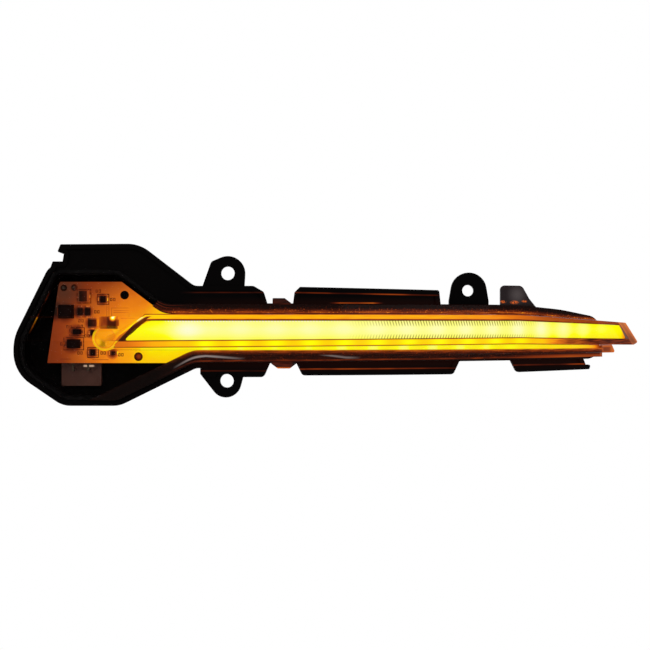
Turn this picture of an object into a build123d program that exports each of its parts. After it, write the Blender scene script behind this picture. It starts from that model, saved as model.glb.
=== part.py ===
from build123d import *
import math
import os

# Side repeater lamp for a door mirror: a curved tray with a flange and three screw ears, a smoked
# stepped lens, two light guides behind it and a board of light diodes inside.
# Frame: X to the right along the lamp, Y backwards, Z up, in millimetres. The origin is the
# centre of the upper left screw hole, on the seat face of the flange.
# Plan offsets are measured from the seat face along its normal, and grow towards the front.

# Plan curve of the seat face: straight across the head, bent backwards from X = 0
BEND_RADIUS = 200.0

# Inside of the tray, seen from the front
BAR_TOP = -11.8
BAR_BOTTOM = -27.8
TAPER_START = 98.0
TAPER_TOP = -12.1
TAPER_MIDDLE = (114.6, -13.6)
BAR_END = 128.6
BAR_END_TOP = -16.1
BAR_END_BOTTOM = -27.1
HEAD_TOP = -0.4
HEAD_BOTTOM = -40.2
HEAD_LEFT = -67.1
HEAD_LEFT_TOP = -22.2
HEAD_LEFT_BOTTOM = -30.8
HEAD_CORNER = -56.3
HEAD_SHOULDER = -36.5
HEAD_HEEL = -36.4
HEAD_TOE = -53.3
NECK_TOP = -21.3
NECK_BOTTOM = -11.3
NECK_FILLET = 8.0
HEAD_FILLET = 5.0
LEFT_TOP_FILLET = 12.0
LEFT_BOTTOM_FILLET = 9.0
CORNER_FILLET = 2.0
TAPER_FILLET = 50.0
END_FILLET = 3.0

# Tray and flange
WALL = 2.0
FLOOR = 2.0
BAR_DEPTH = 8.5
HEAD_DEPTH = 12.0
NECK_STEP = -16.0
BACK_ROUND = 1.5
RIM = 1.5
RIM_END = -6.5
FLANGE_THICKNESS = 2.0
FLANGE_TOP = -4.15
FLANGE_BOTTOM = -33.75
FLANGE_RUN = 2.4
FLANGE_FILLET = 1.5
HEAD_FLANGE_TOP = 9.75
HEAD_FLANGE_SHOULDER = -29.2
HEAD_FLANGE_FOOT = -11.1
HEAD_FLANGE_FILLET = 11.0
HOOK_LEFT = -56.1
HOOK_LEAN = 1.0
HOOK_SLOPE = 0.4
HOOK_DEPTH = 2.1
HOOK_SLOT_TOP = 6.7
HOOK_SLOT_BOTTOM = 3.9
HOOK_ROUND = 0.4
FIRST_NOTCH = 13.3
FIRST_SLOPE = (4.8, 1.5)
FIRST_DROP = 1.9
FIRST_LOWER_END = 14.3
FIRST_LOWER_EDGE = -34.25
SECOND_FLANGE = 21.4
SECOND_FLANGE_TOP = -4.45
SECOND_FLANGE_END = 71.2
SECOND_FLANGE_END_TOP = -5.3
SECOND_CHAMFER = 1.8
SECOND_LEAN = 0.6
SECOND_LOWER = 22.2
LOWER_FLANGE_END = 77.9
LAST_FLANGE = 95.7
LAST_FLANGE_END = 124.8
LAST_FLANGE_BOTTOM = -33.35
LAST_FLANGE_EDGE = -32.8
LAST_HOOK = 2.0
LAST_HOOK_ROUND = 0.5
LIP_WIDTH = 1.6
LIP_HEIGHT = 0.8
GUSSET_WIDTH = 1.2
GUSSET_DEPTH = 3.0
GUSSET_PITCH = 16.0
TIP_PLATE_INSET = 1.4

# Screw ears
EAR_THICKNESS = 2.5
EAR_HOLE = 4.5
SCREW_HEAD = 8.0
UPPER_EAR_RADIUS = 5.7
UPPER_EAR_CORNER = (-4.2, 2.7)
UPPER_EAR_CORNER_RADIUS = 1.6
LOWER_EAR = (-0.3, -35.5)
LOWER_EAR_CENTER = (-0.6, -36.0)
LOWER_EAR_RADIUS = 5.0
LOWER_EAR_LEFT = -9.1
EAR_LEFT = -8.7
EAR_RIGHT = 5.3
FAR_EAR = (81.0, -5.3)
FAR_EAR_CENTER = (81.3, -5.2)
FAR_EAR_RADIUS = 6.1
FAR_EAR_HOLE = 3.9
FAR_EAR_WIDTH = 13.6

# Lens: a base plate with a main blade, a lower second blade, snap legs and a locating tab
SEAL_HEIGHT = 0.4
SEAL_WIDTH = 1.0
SEAL_GAP = 0.05
LENS_BASE = 1.5
LENS_EDGE_GAP = 0.3
BLADE_OUT = 9.0
BLADE_FACE = 1.8
BLADE_ROUND = 0.5
BLADE_TOP = -13.5
BLADE_BOTTOM = -24.3
BLADE_MIDDLE_BOTTOM = -23.4
BLADE_LEFT_TOP = -27.0
BLADE_LEFT_BOTTOM = -37.1
BLADE_LEFT_FILLET = 8.0
BLADE_WALL = 1.9
BLADE_END_WALL = 2.1
WEB = 2.0
TIP_SHOULDER = 139.3
TIP_TOP = -16.2
TIP_END = 144.6
TIP_BOTTOM = -24.15
TIP_WALL = 0.8
TIP_END_WALL = 4.4
CORNER_ROUND = 0.6
STEP_OUT = 5.0
STEP_FACE = 1.6
STEP_BOTTOM = -26.9
STEP_WALL = 1.3
STEP_LEFT = -30.0
STEP_RIGHT = 134.9
STEP_SLANT = 1.2
STEP_END_WALL = 4.0
HEEL_RIGHT = 131.3
HEEL_BOTTOM = -28.4
SKIRT_THICKNESS = 1.2
SKIRT_DEPTH = 1.8
SKIRT_GAP = 0.25
SKIRT_END = 108.0
UPPER_SNAP_CENTER = 16.8
LOWER_SNAP_CENTER = 18.5
SNAP_WIDTH = 4.0
SNAP_FLARE = 2.1
SNAP_ROUND = 0.5
SNAP_THICKNESS = 1.4
SNAP_GAP = 0.2
SNAP_DEPTH = 4.6
BARB_HEIGHT = 0.9
BARB_LENGTH = 1.3
BARB_CLEARANCE = 0.2
LENS_TAB_LEFT = 92.0
LENS_TAB_RIGHT = 105.2
LENS_TAB_TOP = -3.5
LENS_TAB_SHOULDER = 100.0
LENS_TAB_WAIST = (102.7, -8.0)
LENS_TAB_FILLET = 1.6
LENS_TAB_SHOULDER_FILLET = 2.2

# Light guides
GUIDE_GAP = 0.15
GUIDE_FRONT_GAP = 0.3
GUIDE_BACK = -2.6
GUIDE_BACK_END = 124.5
TOOTH_PITCH = 0.95
TOOTH_DEPTH = 0.35
TOOTH_START = -18.0
TOOTH_COUNT = 156
LEG_SIZE = 1.2
LEG_HOSTS = (1, 4, 7, 10, 13)
TONGUE_CENTER = (-40.6, -21.4)
TONGUE_RADIUS = 4.2
TONGUE_ROOT = (-29.5, -20.0)
TONGUE_ROOT_RADIUS = 1.9
TONGUE_BACK = -1.5
TONGUE_FRONT = -0.3

# Circuit board and its supports
BOARD_FRONT = 4.5
BOARD_THICKNESS = 1.2
BOARD_GAP = 1.3
BOARD_TOP = -2.7
BOARD_BOTTOM = -29.7
BOARD_LEFT_TOP = -56.4
BOARD_LEFT_BOTTOM = -60.3
STAKES = ((-34.6, -7.1), (-30.0, -27.6))
REST_BOSS = (-57.4, -19.0)
STAKE_PIN = 2.0
STAKE_CLEARANCE = 0.2
STAKE_HEAD = 2.9
STAKE_HEAD_HEIGHT = 0.8
STAKE_HEAD_DRAFT = 30.0
BOSS = 5.0
RIB_WIDTH = 1.2
RIB_START = 2.0
RIB_PITCH = 22.0
RIB_COUNT = 6

# Light diodes, on the board's front at falling pitch along the bar
LED_COUNT = 15
LED_START = -13.5
LED_PITCH = 12.0
LED_PITCH_RATIO = 0.98
LED_LENGTH = 3.5
LED_WIDTH = 2.8
LED_HEIGHT = 1.4
LED_CUP = 2.2
LED_CUP_DEPTH = 0.6
LED_ROUND = 0.2

# Parts on the board: centre, size across and up, height off the board
INPUT_DIODE = ((-54.0, -12.6), (5.2, 4.6), 2.3)
INPUT_CAPACITOR = ((-48.1, -7.5), (3.4, 3.4), 2.2)
BULK_CAPACITOR = ((-40.0, -16.3), (6.2, 4.2), 2.7)
FILTER_CAPACITOR = ((-45.3, -16.4), (2.5, 3.2), 1.6)
BYPASS_CAPACITOR = ((-38.2, -26.4), (2.2, 1.2), 0.9)
CLAMP_DIODE = ((-50.4, -19.3), (2.8, 1.7), 1.1)
REGULATOR = ((-51.5, -23.3), (4.5, 3.0), 1.5)
UPPER_RESISTOR = ((-41.7, -8.5), (2.6, 2.2), 0.6)
LEFT_SENSE_RESISTOR = ((-49.3, -12.6), (1.8, 3.1), 0.6)
RIGHT_SENSE_RESISTOR = ((-46.8, -12.6), (1.8, 3.1), 0.6)
DIVIDER_RESISTOR = ((-45.1, -19.6), (2.0, 1.8), 0.6)
LOWER_RESISTOR = ((-45.1, -26.2), (2.4, 2.2), 0.6)
TONGUE_RESISTOR = ((-42.0, -23.4), (2.0, 1.3), 0.6)
SOLDER_JOINTS = ((-54.8, -4.7), (-51.3, -4.6))
SOLDER_RADIUS = 1.1
SOLDER_HEIGHT = 0.9
SOLDER_DRAFT = 35.0
LEAD_LENGTH = 0.5
LEAD_THICKNESS = 0.25
CAP_LENGTH = 0.45
CAP_SWELL = 0.03
BODY_DRAFT = 6.0

# Plug socket through the head's floor
SOCKET_CENTER = (-49.45, -32.1)
SOCKET_FLANGE = (13.3, 10.6)
SOCKET_FLANGE_THICKNESS = 2.0
SOCKET_ROUND = 0.5
SOCKET_BODY = (11.6, 8.8)
SOCKET_REACH = 8.0
SOCKET_WALL = 0.9
SOCKET_HOLLOW_DEPTH = 9.0
SOCKET_CLEARANCE = 0.15
PIN_PITCH = 5.0
PIN_SIZE = 0.64
PIN_REACH = 4.4
PIN_FOOT = 3.0

# Derived plan offsets and heights
LENS_BACK = SEAL_HEIGHT
LENS_FRONT = LENS_BACK + LENS_BASE
BOARD_BACK = BOARD_FRONT + BOARD_THICKNESS
BAR_FLOOR = BAR_DEPTH - FLOOR
HEAD_FLOOR = HEAD_DEPTH - FLOOR
WALL_TOP = BAR_TOP + WALL
WALL_BOTTOM = BAR_BOTTOM - WALL
SLOT_TOP = BLADE_TOP - BLADE_WALL
SLOT_BOTTOM = BLADE_BOTTOM + WEB
SLOT_MIDDLE_BOTTOM = BLADE_MIDDLE_BOTTOM + WEB
SLOT_MIDDLE = (SLOT_TOP + SLOT_BOTTOM) / 2
SLOT_FRONT = BLADE_OUT - BLADE_FACE
STEP_SLOT_FRONT = STEP_OUT - STEP_FACE
STEP_SLOT_BOTTOM = STEP_BOTTOM + STEP_WALL
UPPER_ROOT = WALL_TOP - WALL / 2
LOWER_ROOT = WALL_BOTTOM + WALL / 2
UPPER_SNAP = WALL_TOP + SNAP_GAP
LOWER_SNAP = WALL_BOTTOM - SNAP_GAP
SWEEP = math.degrees(math.asin(TIP_END / (BEND_RADIUS - HEAD_DEPTH))) + 5
BELOW = HEAD_BOTTOM - BEND_RADIUS / 4
ABOVE = HEAD_FLANGE_TOP + BEND_RADIUS / 4
FAR_LEFT = HEAD_LEFT - BEND_RADIUS / 4


def plan_point(run, out):
    """Point at a length along the seat face and an offset in front of it."""
    if run <= 0:
        return (run, -out)
    angle = run / BEND_RADIUS
    radius = BEND_RADIUS + out
    return (radius * math.sin(angle), BEND_RADIUS - radius * math.cos(angle))


def seat_depth(across):
    """Depth of the seat face behind the origin, at a place in the front view."""
    return BEND_RADIUS - math.sqrt(BEND_RADIUS**2 - max(across, 0) ** 2)


def offset_of(point):
    """Offset of a point in front of the seat face."""
    if point.X <= 0:
        return -point.Y
    return math.hypot(point.X, BEND_RADIUS - point.Y) - BEND_RADIUS


def rim_edges(shape, out):
    """Edges round the face of a curved plate that lies at an offset."""
    rim = ShapeList()
    for edge in shape.edges():
        level = all(abs(offset_of(edge @ place) - out) < 0.01 for place in (0, 0.5, 1))
        seam = all(abs((edge @ place).X) < 0.01 for place in (0, 1))
        if level and not seam:
            rim.append(edge)
    return rim


def bend_arc(out):
    """Bent stretch of the plan curve at an offset, drawn in the current line builder."""
    return CenterArc((0, BEND_RADIUS), BEND_RADIUS + out, -90, SWEEP)


def curved_plate(outline, back, front, front_round=0, back_round=0):
    """Plate between two offsets of the plan curve, cut straight through to a front outline."""
    with BuildPart() as plate:
        with BuildSketch(Plane.XY.offset(BELOW)):
            with BuildLine():
                Polyline((0, -front), (FAR_LEFT, -front), (FAR_LEFT, -back), (0, -back))
                Line(bend_arc(front) @ 1, bend_arc(back) @ 1)
            make_face()
        extrude(amount=ABOVE - BELOW)
        with BuildSketch(Plane.XZ):
            add(outline)
        extrude(amount=2 * BEND_RADIUS, both=True, mode=Mode.INTERSECT)
        if front_round:
            fillet(rim_edges(plate.part, front), front_round)
        if back_round:
            fillet(rim_edges(plate.part, back), back_round)
    return plate.part


def front_plane(depth):
    """Plane at a depth behind the origin, facing the front."""
    return Plane.XZ.offset(-depth)


def span(left, right, bottom, top):
    """Rectangle in the front view, by its edges."""
    with BuildSketch() as area:
        with Locations(((left + right) / 2, (bottom + top) / 2)):
            Rectangle(right - left, top - bottom)
    return area.sketch


def grown(outline, amount):
    """Outline grown, or shrunk by a negative amount."""
    with BuildSketch() as result:
        add(outline)
        offset(amount=amount)
    return result.sketch


def rounded(points, radii):
    """Closed outline with a radius for each corner."""
    with BuildSketch() as result:
        with BuildLine():
            FilletPolyline(*points, radius=radii, close=True)
        make_face()
    return result.sketch


def lower_tab(left, right, edge):
    """Strip of the lower flange with slanted, rounded ends."""
    points = [
        (left, LOWER_ROOT),
        (left + FLANGE_RUN, edge),
        (right - FLANGE_RUN, edge),
        (right, LOWER_ROOT),
    ]
    return rounded(points, [0, FLANGE_FILLET, FLANGE_FILLET, 0])


def snap_span(center, bottom, top):
    """Rectangle as wide as a snap leg, in the front view."""
    return span(center - SNAP_WIDTH / 2, center + SNAP_WIDTH / 2, bottom, top)


def ear_outline(discs, left, right, root):
    """Screw ear: discs drawn together with the ear's root on the flange."""
    with BuildSketch() as ear:
        for center, radius in discs:
            with Locations(center):
                Circle(radius)
        with Locations(((left + right) / 2, root)):
            Rectangle(right - left, WALL)
        make_hull()
    return ear.sketch


# Front outlines of the tray
cavity = rounded(
    [
        (HEAD_CORNER, HEAD_TOP),
        (HEAD_SHOULDER, HEAD_TOP),
        (NECK_TOP, BAR_TOP),
        (TAPER_START, TAPER_TOP),
        TAPER_MIDDLE,
        (BAR_END, BAR_END_TOP),
        (BAR_END, BAR_END_BOTTOM),
        (NECK_BOTTOM, BAR_BOTTOM),
        (HEAD_HEEL, HEAD_BOTTOM),
        (HEAD_TOE, HEAD_BOTTOM),
        (HEAD_LEFT, HEAD_LEFT_BOTTOM),
        (HEAD_LEFT, HEAD_LEFT_TOP),
    ],
    [
        CORNER_FILLET,
        HEAD_FILLET,
        NECK_FILLET,
        TAPER_FILLET,
        TAPER_FILLET,
        END_FILLET,
        END_FILLET,
        NECK_FILLET,
        HEAD_FILLET,
        HEAD_FILLET,
        LEFT_BOTTOM_FILLET,
        LEFT_TOP_FILLET,
    ],
)
wall = grown(cavity, WALL)

with BuildSketch() as head_wall:
    add(wall)
    add(span(FAR_LEFT, NECK_STEP, BELOW, ABOVE), mode=Mode.INTERSECT)

with BuildSketch() as head_cavity:
    add(cavity)
    add(span(FAR_LEFT, NECK_STEP - WALL, BELOW, ABOVE), mode=Mode.INTERSECT)

with BuildSketch() as head_rim:
    add(grown(cavity, WALL + RIM))
    add(span(FAR_LEFT, RIM_END, BELOW, ABOVE), mode=Mode.INTERSECT)

head_flange = rounded(
    [
        (HOOK_LEFT + HOOK_LEAN, HEAD_FLANGE_TOP - HOOK_SLOPE / 2),
        (HEAD_FLANGE_SHOULDER, HEAD_FLANGE_TOP),
        (HEAD_FLANGE_FOOT, FLANGE_TOP),
        (FIRST_NOTCH - FIRST_SLOPE[0], FLANGE_TOP),
        (FIRST_NOTCH - FIRST_SLOPE[1], FLANGE_TOP - FIRST_DROP),
        (FIRST_NOTCH, UPPER_ROOT),
        (NECK_TOP, UPPER_ROOT),
        (HEAD_SHOULDER, HEAD_TOP),
        (HEAD_LEFT, HEAD_LEFT_TOP),
        (HOOK_LEFT - LIP_WIDTH, HOOK_SLOT_BOTTOM),
        (HOOK_LEFT + HOOK_DEPTH - HOOK_SLOPE, HOOK_SLOT_BOTTOM),
        (HOOK_LEFT + HOOK_DEPTH, HOOK_SLOT_TOP - HOOK_SLOPE),
        (HOOK_LEFT, HOOK_SLOT_TOP + HOOK_SLOPE),
    ],
    [
        HOOK_ROUND,
        HEAD_FLANGE_FILLET,
        NECK_FILLET / 2,
        FLANGE_FILLET,
        FLANGE_FILLET,
        0,
        0,
        0,
        0,
        HOOK_ROUND,
        0,
        0,
        HOOK_ROUND,
    ],
)

second_flange = rounded(
    [
        (SECOND_FLANGE, UPPER_ROOT),
        (SECOND_FLANGE + SECOND_LEAN, SECOND_FLANGE_TOP - SECOND_CHAMFER),
        (SECOND_FLANGE + SECOND_LEAN + SECOND_CHAMFER, SECOND_FLANGE_TOP),
        (SECOND_FLANGE_END - SECOND_LEAN, SECOND_FLANGE_END_TOP),
        (SECOND_FLANGE_END, UPPER_ROOT),
    ],
    [0, HOOK_ROUND, HOOK_ROUND, FLANGE_FILLET / 2, 0],
)
last_flange = rounded(
    [
        (LAST_FLANGE, LOWER_ROOT),
        (LAST_FLANGE + FLANGE_RUN, LAST_FLANGE_BOTTOM),
        (LAST_FLANGE_END + LAST_HOOK - LAST_HOOK_ROUND, LAST_FLANGE_EDGE),
        (LAST_FLANGE_END + LAST_HOOK, LAST_FLANGE_EDGE + LIP_WIDTH),
        (LAST_FLANGE_END, LAST_FLANGE_EDGE + LIP_WIDTH),
        (LAST_FLANGE_END - LAST_HOOK / 2, LOWER_ROOT),
    ],
    [0, FLANGE_FILLET, LAST_HOOK_ROUND, LAST_HOOK_ROUND, 0, 0],
)

with BuildSketch() as flange:
    add(wall)
    add(head_rim.sketch)
    add(head_flange)
    add(second_flange)
    add(lower_tab(LOWER_EAR_LEFT, FIRST_LOWER_END, FIRST_LOWER_EDGE))
    add(lower_tab(SECOND_LOWER, LOWER_FLANGE_END, FLANGE_BOTTOM))
    add(last_flange)

with BuildSketch() as lip:
    add(flange.sketch)
    add(grown(flange.sketch, -LIP_WIDTH), mode=Mode.SUBTRACT)
    add(wall, mode=Mode.SUBTRACT)
    with Locations((0, 0), LOWER_EAR):
        Circle(SCREW_HEAD / 2, mode=Mode.SUBTRACT)

# Front outlines of the lens
blade = rounded(
    [
        (BLADE_LEFT_TOP, BLADE_TOP),
        (TAPER_START, BLADE_TOP),
        (TIP_SHOULDER, TIP_TOP),
        (TIP_END, TIP_BOTTOM + BLADE_FACE / 2),
        (TIP_END - BLADE_FACE, TIP_BOTTOM),
        (TAPER_START, BLADE_MIDDLE_BOTTOM),
        (BLADE_LEFT_BOTTOM, BLADE_BOTTOM),
    ],
    [
        BLADE_LEFT_FILLET,
        NECK_FILLET,
        CORNER_ROUND,
        CORNER_ROUND,
        CORNER_ROUND,
        NECK_FILLET,
        CORNER_ROUND,
    ],
)
slot = rounded(
    [
        (BLADE_LEFT_TOP + BLADE_END_WALL / 2, SLOT_TOP),
        (TAPER_START, SLOT_TOP),
        (TIP_SHOULDER - BLADE_END_WALL, TIP_TOP - TIP_WALL),
        (TIP_END - TIP_END_WALL, TIP_BOTTOM + WEB),
        (TAPER_START, SLOT_MIDDLE_BOTTOM),
        (BLADE_LEFT_BOTTOM + 1.5 * BLADE_END_WALL, SLOT_BOTTOM),
    ],
    [BLADE_LEFT_FILLET, NECK_FILLET, CORNER_ROUND, CORNER_ROUND, NECK_FILLET, CORNER_ROUND],
)
step = rounded(
    [
        (STEP_LEFT, SLOT_BOTTOM),
        (STEP_RIGHT - STEP_SLANT, SLOT_BOTTOM),
        (STEP_RIGHT + STEP_SLANT, STEP_BOTTOM),
        (STEP_LEFT, STEP_BOTTOM),
    ],
    [0, 0, CORNER_ROUND, CORNER_ROUND],
)
step_slot = rounded(
    [
        (STEP_LEFT + STEP_WALL, BLADE_BOTTOM),
        (TAPER_START, BLADE_MIDDLE_BOTTOM),
        (STEP_RIGHT - STEP_END_WALL, TIP_BOTTOM),
        (STEP_RIGHT - STEP_END_WALL, STEP_SLOT_BOTTOM),
        (STEP_LEFT + STEP_WALL, STEP_SLOT_BOTTOM),
    ],
    [0, NECK_FILLET, 0, 0, 0],
)
lens_heel = span(BAR_END - WALL, HEEL_RIGHT, HEEL_BOTTOM, STEP_BOTTOM + STEP_WALL)
lens_tab = rounded(
    [
        (LENS_TAB_LEFT, BAR_TOP),
        (LENS_TAB_LEFT, LENS_TAB_TOP),
        (LENS_TAB_SHOULDER, LENS_TAB_TOP),
        LENS_TAB_WAIST,
        (LENS_TAB_RIGHT, UPPER_ROOT),
        (LENS_TAB_RIGHT, TAPER_TOP - WALL),
        (LENS_TAB_LEFT, TAPER_TOP - WALL),
    ],
    [0, LENS_TAB_FILLET, LENS_TAB_SHOULDER_FILLET, LENS_TAB_SHOULDER_FILLET, 0, 0, 0],
)
upper_snap = snap_span(UPPER_SNAP_CENTER, UPPER_SNAP, UPPER_SNAP + SNAP_THICKNESS)
lower_snap = snap_span(LOWER_SNAP_CENTER, LOWER_SNAP - SNAP_THICKNESS, LOWER_SNAP)
upper_barb = snap_span(UPPER_SNAP_CENTER, UPPER_SNAP - BARB_HEIGHT, UPPER_SNAP)
lower_barb = snap_span(LOWER_SNAP_CENTER, LOWER_SNAP, LOWER_SNAP + BARB_HEIGHT)
upper_shoulder = rounded(
    [
        (UPPER_SNAP_CENTER - SNAP_WIDTH / 2, BAR_TOP),
        (UPPER_SNAP_CENTER - SNAP_WIDTH / 2, UPPER_SNAP + SNAP_THICKNESS),
        (UPPER_SNAP_CENTER + SNAP_WIDTH / 2, UPPER_SNAP + SNAP_THICKNESS),
        (UPPER_SNAP_CENTER + SNAP_WIDTH / 2 + SNAP_FLARE, WALL_TOP),
        (UPPER_SNAP_CENTER + SNAP_WIDTH / 2 + SNAP_FLARE, BAR_TOP),
    ],
    [0, SNAP_ROUND, SNAP_ROUND, 0, 0],
)
lower_shoulder = rounded(
    [
        (LOWER_SNAP_CENTER - SNAP_WIDTH / 2 - SNAP_FLARE, BAR_BOTTOM),
        (LOWER_SNAP_CENTER - SNAP_WIDTH / 2 - SNAP_FLARE, WALL_BOTTOM),
        (LOWER_SNAP_CENTER - SNAP_WIDTH / 2, LOWER_SNAP - SNAP_THICKNESS),
        (LOWER_SNAP_CENTER + SNAP_WIDTH / 2, LOWER_SNAP - SNAP_THICKNESS),
        (LOWER_SNAP_CENTER + SNAP_WIDTH / 2 + SNAP_FLARE, WALL_BOTTOM),
        (LOWER_SNAP_CENTER + SNAP_WIDTH / 2 + SNAP_FLARE, BAR_BOTTOM),
    ],
    [0, 0, SNAP_ROUND, SNAP_ROUND, 0, 0],
)

with BuildSketch() as lens_base:
    add(grown(cavity, WALL - LENS_EDGE_GAP))
    add(blade)
    add(step)
    add(lens_heel)
    add(lens_tab)
    add(upper_shoulder)
    add(lower_shoulder)

with BuildSketch() as skirt:
    add(grown(cavity, -SKIRT_GAP))
    add(grown(cavity, -SKIRT_GAP - SKIRT_THICKNESS), mode=Mode.SUBTRACT)
    add(span(FAR_LEFT, SKIRT_END, BELOW, ABOVE), mode=Mode.INTERSECT)

with BuildSketch() as seal:
    add(grown(cavity, (WALL + SEAL_WIDTH) / 2))
    add(grown(cavity, (WALL - SEAL_WIDTH) / 2), mode=Mode.SUBTRACT)

with BuildSketch() as tip_plate:
    add(grown(blade, -TIP_PLATE_INSET))
    add(span(BAR_END - WALL, TIP_END, BELOW, ABOVE), mode=Mode.INTERSECT)

# Board outline, and the places along the bar of what stands on the board
with BuildSketch() as board:
    add(grown(cavity, -BOARD_GAP))
    with BuildLine():
        Polyline(
            (BOARD_LEFT_TOP, BOARD_TOP),
            (TIP_END, BOARD_TOP),
            (TIP_END, BOARD_BOTTOM),
            (BOARD_LEFT_BOTTOM, BOARD_BOTTOM),
            close=True,
        )
    make_face(mode=Mode.INTERSECT)

led_runs = [LED_START]
for index in range(LED_COUNT - 1):
    led_runs.append(led_runs[-1] + LED_PITCH * LED_PITCH_RATIO**index)
leg_runs = [(led_runs[host] + led_runs[host + 1]) / 2 for host in LEG_HOSTS]
leg_places = [plan_point(run, GUIDE_BACK)[0] for run in leg_runs]
rib_places = [RIB_START + index * RIB_PITCH for index in range(RIB_COUNT)]


def legs(height):
    """Square feet at one height, one for each leg place."""
    with BuildSketch() as feet:
        with Locations([(place, height) for place in leg_places]):
            Rectangle(LEG_SIZE, LEG_SIZE)
    return feet.sketch


# Rear housing: tray, flange with a raised lip, ears, board supports and the plug cut-out
with BuildSketch() as gussets:
    for index in range(int((LAST_FLANGE_END - SECOND_FLANGE) / GUSSET_PITCH) + 1):
        place = SECOND_FLANGE + 2 * FLANGE_RUN + index * GUSSET_PITCH
        add(span(place, place + GUSSET_WIDTH, FLANGE_BOTTOM + LIP_WIDTH, FLANGE_TOP - LIP_WIDTH))
    add(grown(flange.sketch, -LIP_WIDTH / 2), mode=Mode.INTERSECT)
    add(cavity, mode=Mode.SUBTRACT)

with BuildSketch() as ribs:
    for place in rib_places:
        add(span(place, place + RIB_WIDTH, BELOW, ABOVE))
    add(grown(cavity, WALL / 2), mode=Mode.INTERSECT)

with BuildSketch() as snap_pockets:
    add(grown(upper_barb, BARB_CLEARANCE))
    add(grown(lower_barb, BARB_CLEARANCE))

tray_pieces = [
    curved_plate(flange.sketch, -FLANGE_THICKNESS, 0),
    curved_plate(lip.sketch, -FLANGE_THICKNESS / 2, LIP_HEIGHT),
    curved_plate(wall, -BAR_DEPTH, 0, back_round=BACK_ROUND),
    curved_plate(head_wall.sketch, -HEAD_DEPTH, 0, back_round=BACK_ROUND),
    curved_plate(tip_plate.sketch, -FLANGE_THICKNESS, 0),
    curved_plate(gussets.sketch, -FLANGE_THICKNESS - GUSSET_DEPTH, -FLANGE_THICKNESS / 2),
]
pocket_front = BARB_LENGTH + BARB_CLEARANCE - SNAP_DEPTH
tray_hollows = [
    curved_plate(cavity, -BAR_FLOOR, LENS_FRONT),
    curved_plate(head_cavity.sketch, -HEAD_FLOOR, LENS_FRONT),
    curved_plate(snap_pockets.sketch, -SNAP_DEPTH - BARB_CLEARANCE, pocket_front),
]
board_ribs = curved_plate(ribs.sketch, -BAR_DEPTH + FLOOR / 2, -BOARD_BACK)

with BuildPart() as rear_housing:
    add(tray_pieces)
    add(tray_hollows, mode=Mode.SUBTRACT)
    add(board_ribs)
    with BuildSketch(Plane.XZ):
        upper_discs = [
            ((0, 0), UPPER_EAR_RADIUS),
            (UPPER_EAR_CORNER, UPPER_EAR_CORNER_RADIUS),
        ]
        lower_discs = [(LOWER_EAR_CENTER, LOWER_EAR_RADIUS)]
        add(ear_outline(upper_discs, EAR_LEFT, EAR_RIGHT, FLANGE_TOP - WALL))
        add(ear_outline(lower_discs, LOWER_EAR_LEFT, EAR_RIGHT, FIRST_LOWER_EDGE + WALL))
    extrude(amount=-EAR_THICKNESS)
    far_left = FAR_EAR_CENTER[0] - FAR_EAR_WIDTH / 2
    far_right = FAR_EAR_CENTER[0] + FAR_EAR_WIDTH / 2
    far_depth = seat_depth(far_right)
    with BuildSketch(front_plane(far_depth)):
        far_discs = [(FAR_EAR_CENTER, FAR_EAR_RADIUS)]
        add(ear_outline(far_discs, far_left, far_right, WALL_TOP))
    extrude(amount=-EAR_THICKNESS)
    with BuildSketch(Plane.XZ):
        with Locations((0, 0), LOWER_EAR):
            Circle(EAR_HOLE / 2)
        with Locations(FAR_EAR):
            Circle(FAR_EAR_HOLE / 2)
    extrude(amount=-2 * far_depth, mode=Mode.SUBTRACT)
    with BuildSketch(front_plane(HEAD_DEPTH - FLOOR / 2)):
        with Locations(*STAKES, REST_BOSS):
            Circle(BOSS / 2)
    extrude(amount=HEAD_DEPTH - FLOOR / 2 - BOARD_BACK)
    with BuildSketch(front_plane(BOARD_BACK)):
        with Locations(*STAKES):
            Circle(STAKE_PIN / 2)
    extrude(amount=BOARD_THICKNESS)
    with BuildSketch(front_plane(BOARD_FRONT)):
        with Locations(*STAKES):
            Circle(STAKE_HEAD / 2)
    extrude(amount=STAKE_HEAD_HEIGHT, taper=STAKE_HEAD_DRAFT)
    with BuildSketch(front_plane(HEAD_FLOOR)):
        with Locations(SOCKET_CENTER):
            Rectangle(SOCKET_BODY[0] + 2 * SOCKET_CLEARANCE, SOCKET_BODY[1] + 2 * SOCKET_CLEARANCE)
    extrude(amount=-2 * FLOOR, mode=Mode.SUBTRACT)

# Front lens
lens_pieces = [
    curved_plate(lens_base.sketch, LENS_BACK, LENS_FRONT),
    curved_plate(blade, LENS_BACK, BLADE_OUT, front_round=BLADE_ROUND),
    curved_plate(step, LENS_BACK, STEP_OUT, front_round=BLADE_ROUND),
    curved_plate(skirt.sketch, -SKIRT_DEPTH, LENS_BACK),
    curved_plate(upper_snap, -SNAP_DEPTH, LENS_BACK),
    curved_plate(lower_snap, -SNAP_DEPTH, LENS_BACK),
    curved_plate(upper_barb, -SNAP_DEPTH, BARB_LENGTH - SNAP_DEPTH),
    curved_plate(lower_barb, -SNAP_DEPTH, BARB_LENGTH - SNAP_DEPTH),
]
lens_slots = [
    curved_plate(slot, 0, SLOT_FRONT),
    curved_plate(step_slot, 0, STEP_SLOT_FRONT),
]
with BuildPart() as front_lens:
    add(lens_pieces)
    add(lens_slots, mode=Mode.SUBTRACT)

# Seal bead between the tray's wall and the lens
seal_bead = curved_plate(seal.sketch, 0, SEAL_HEIGHT - SEAL_GAP)
with BuildPart() as lens_seal:
    add(seal_bead)

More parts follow.
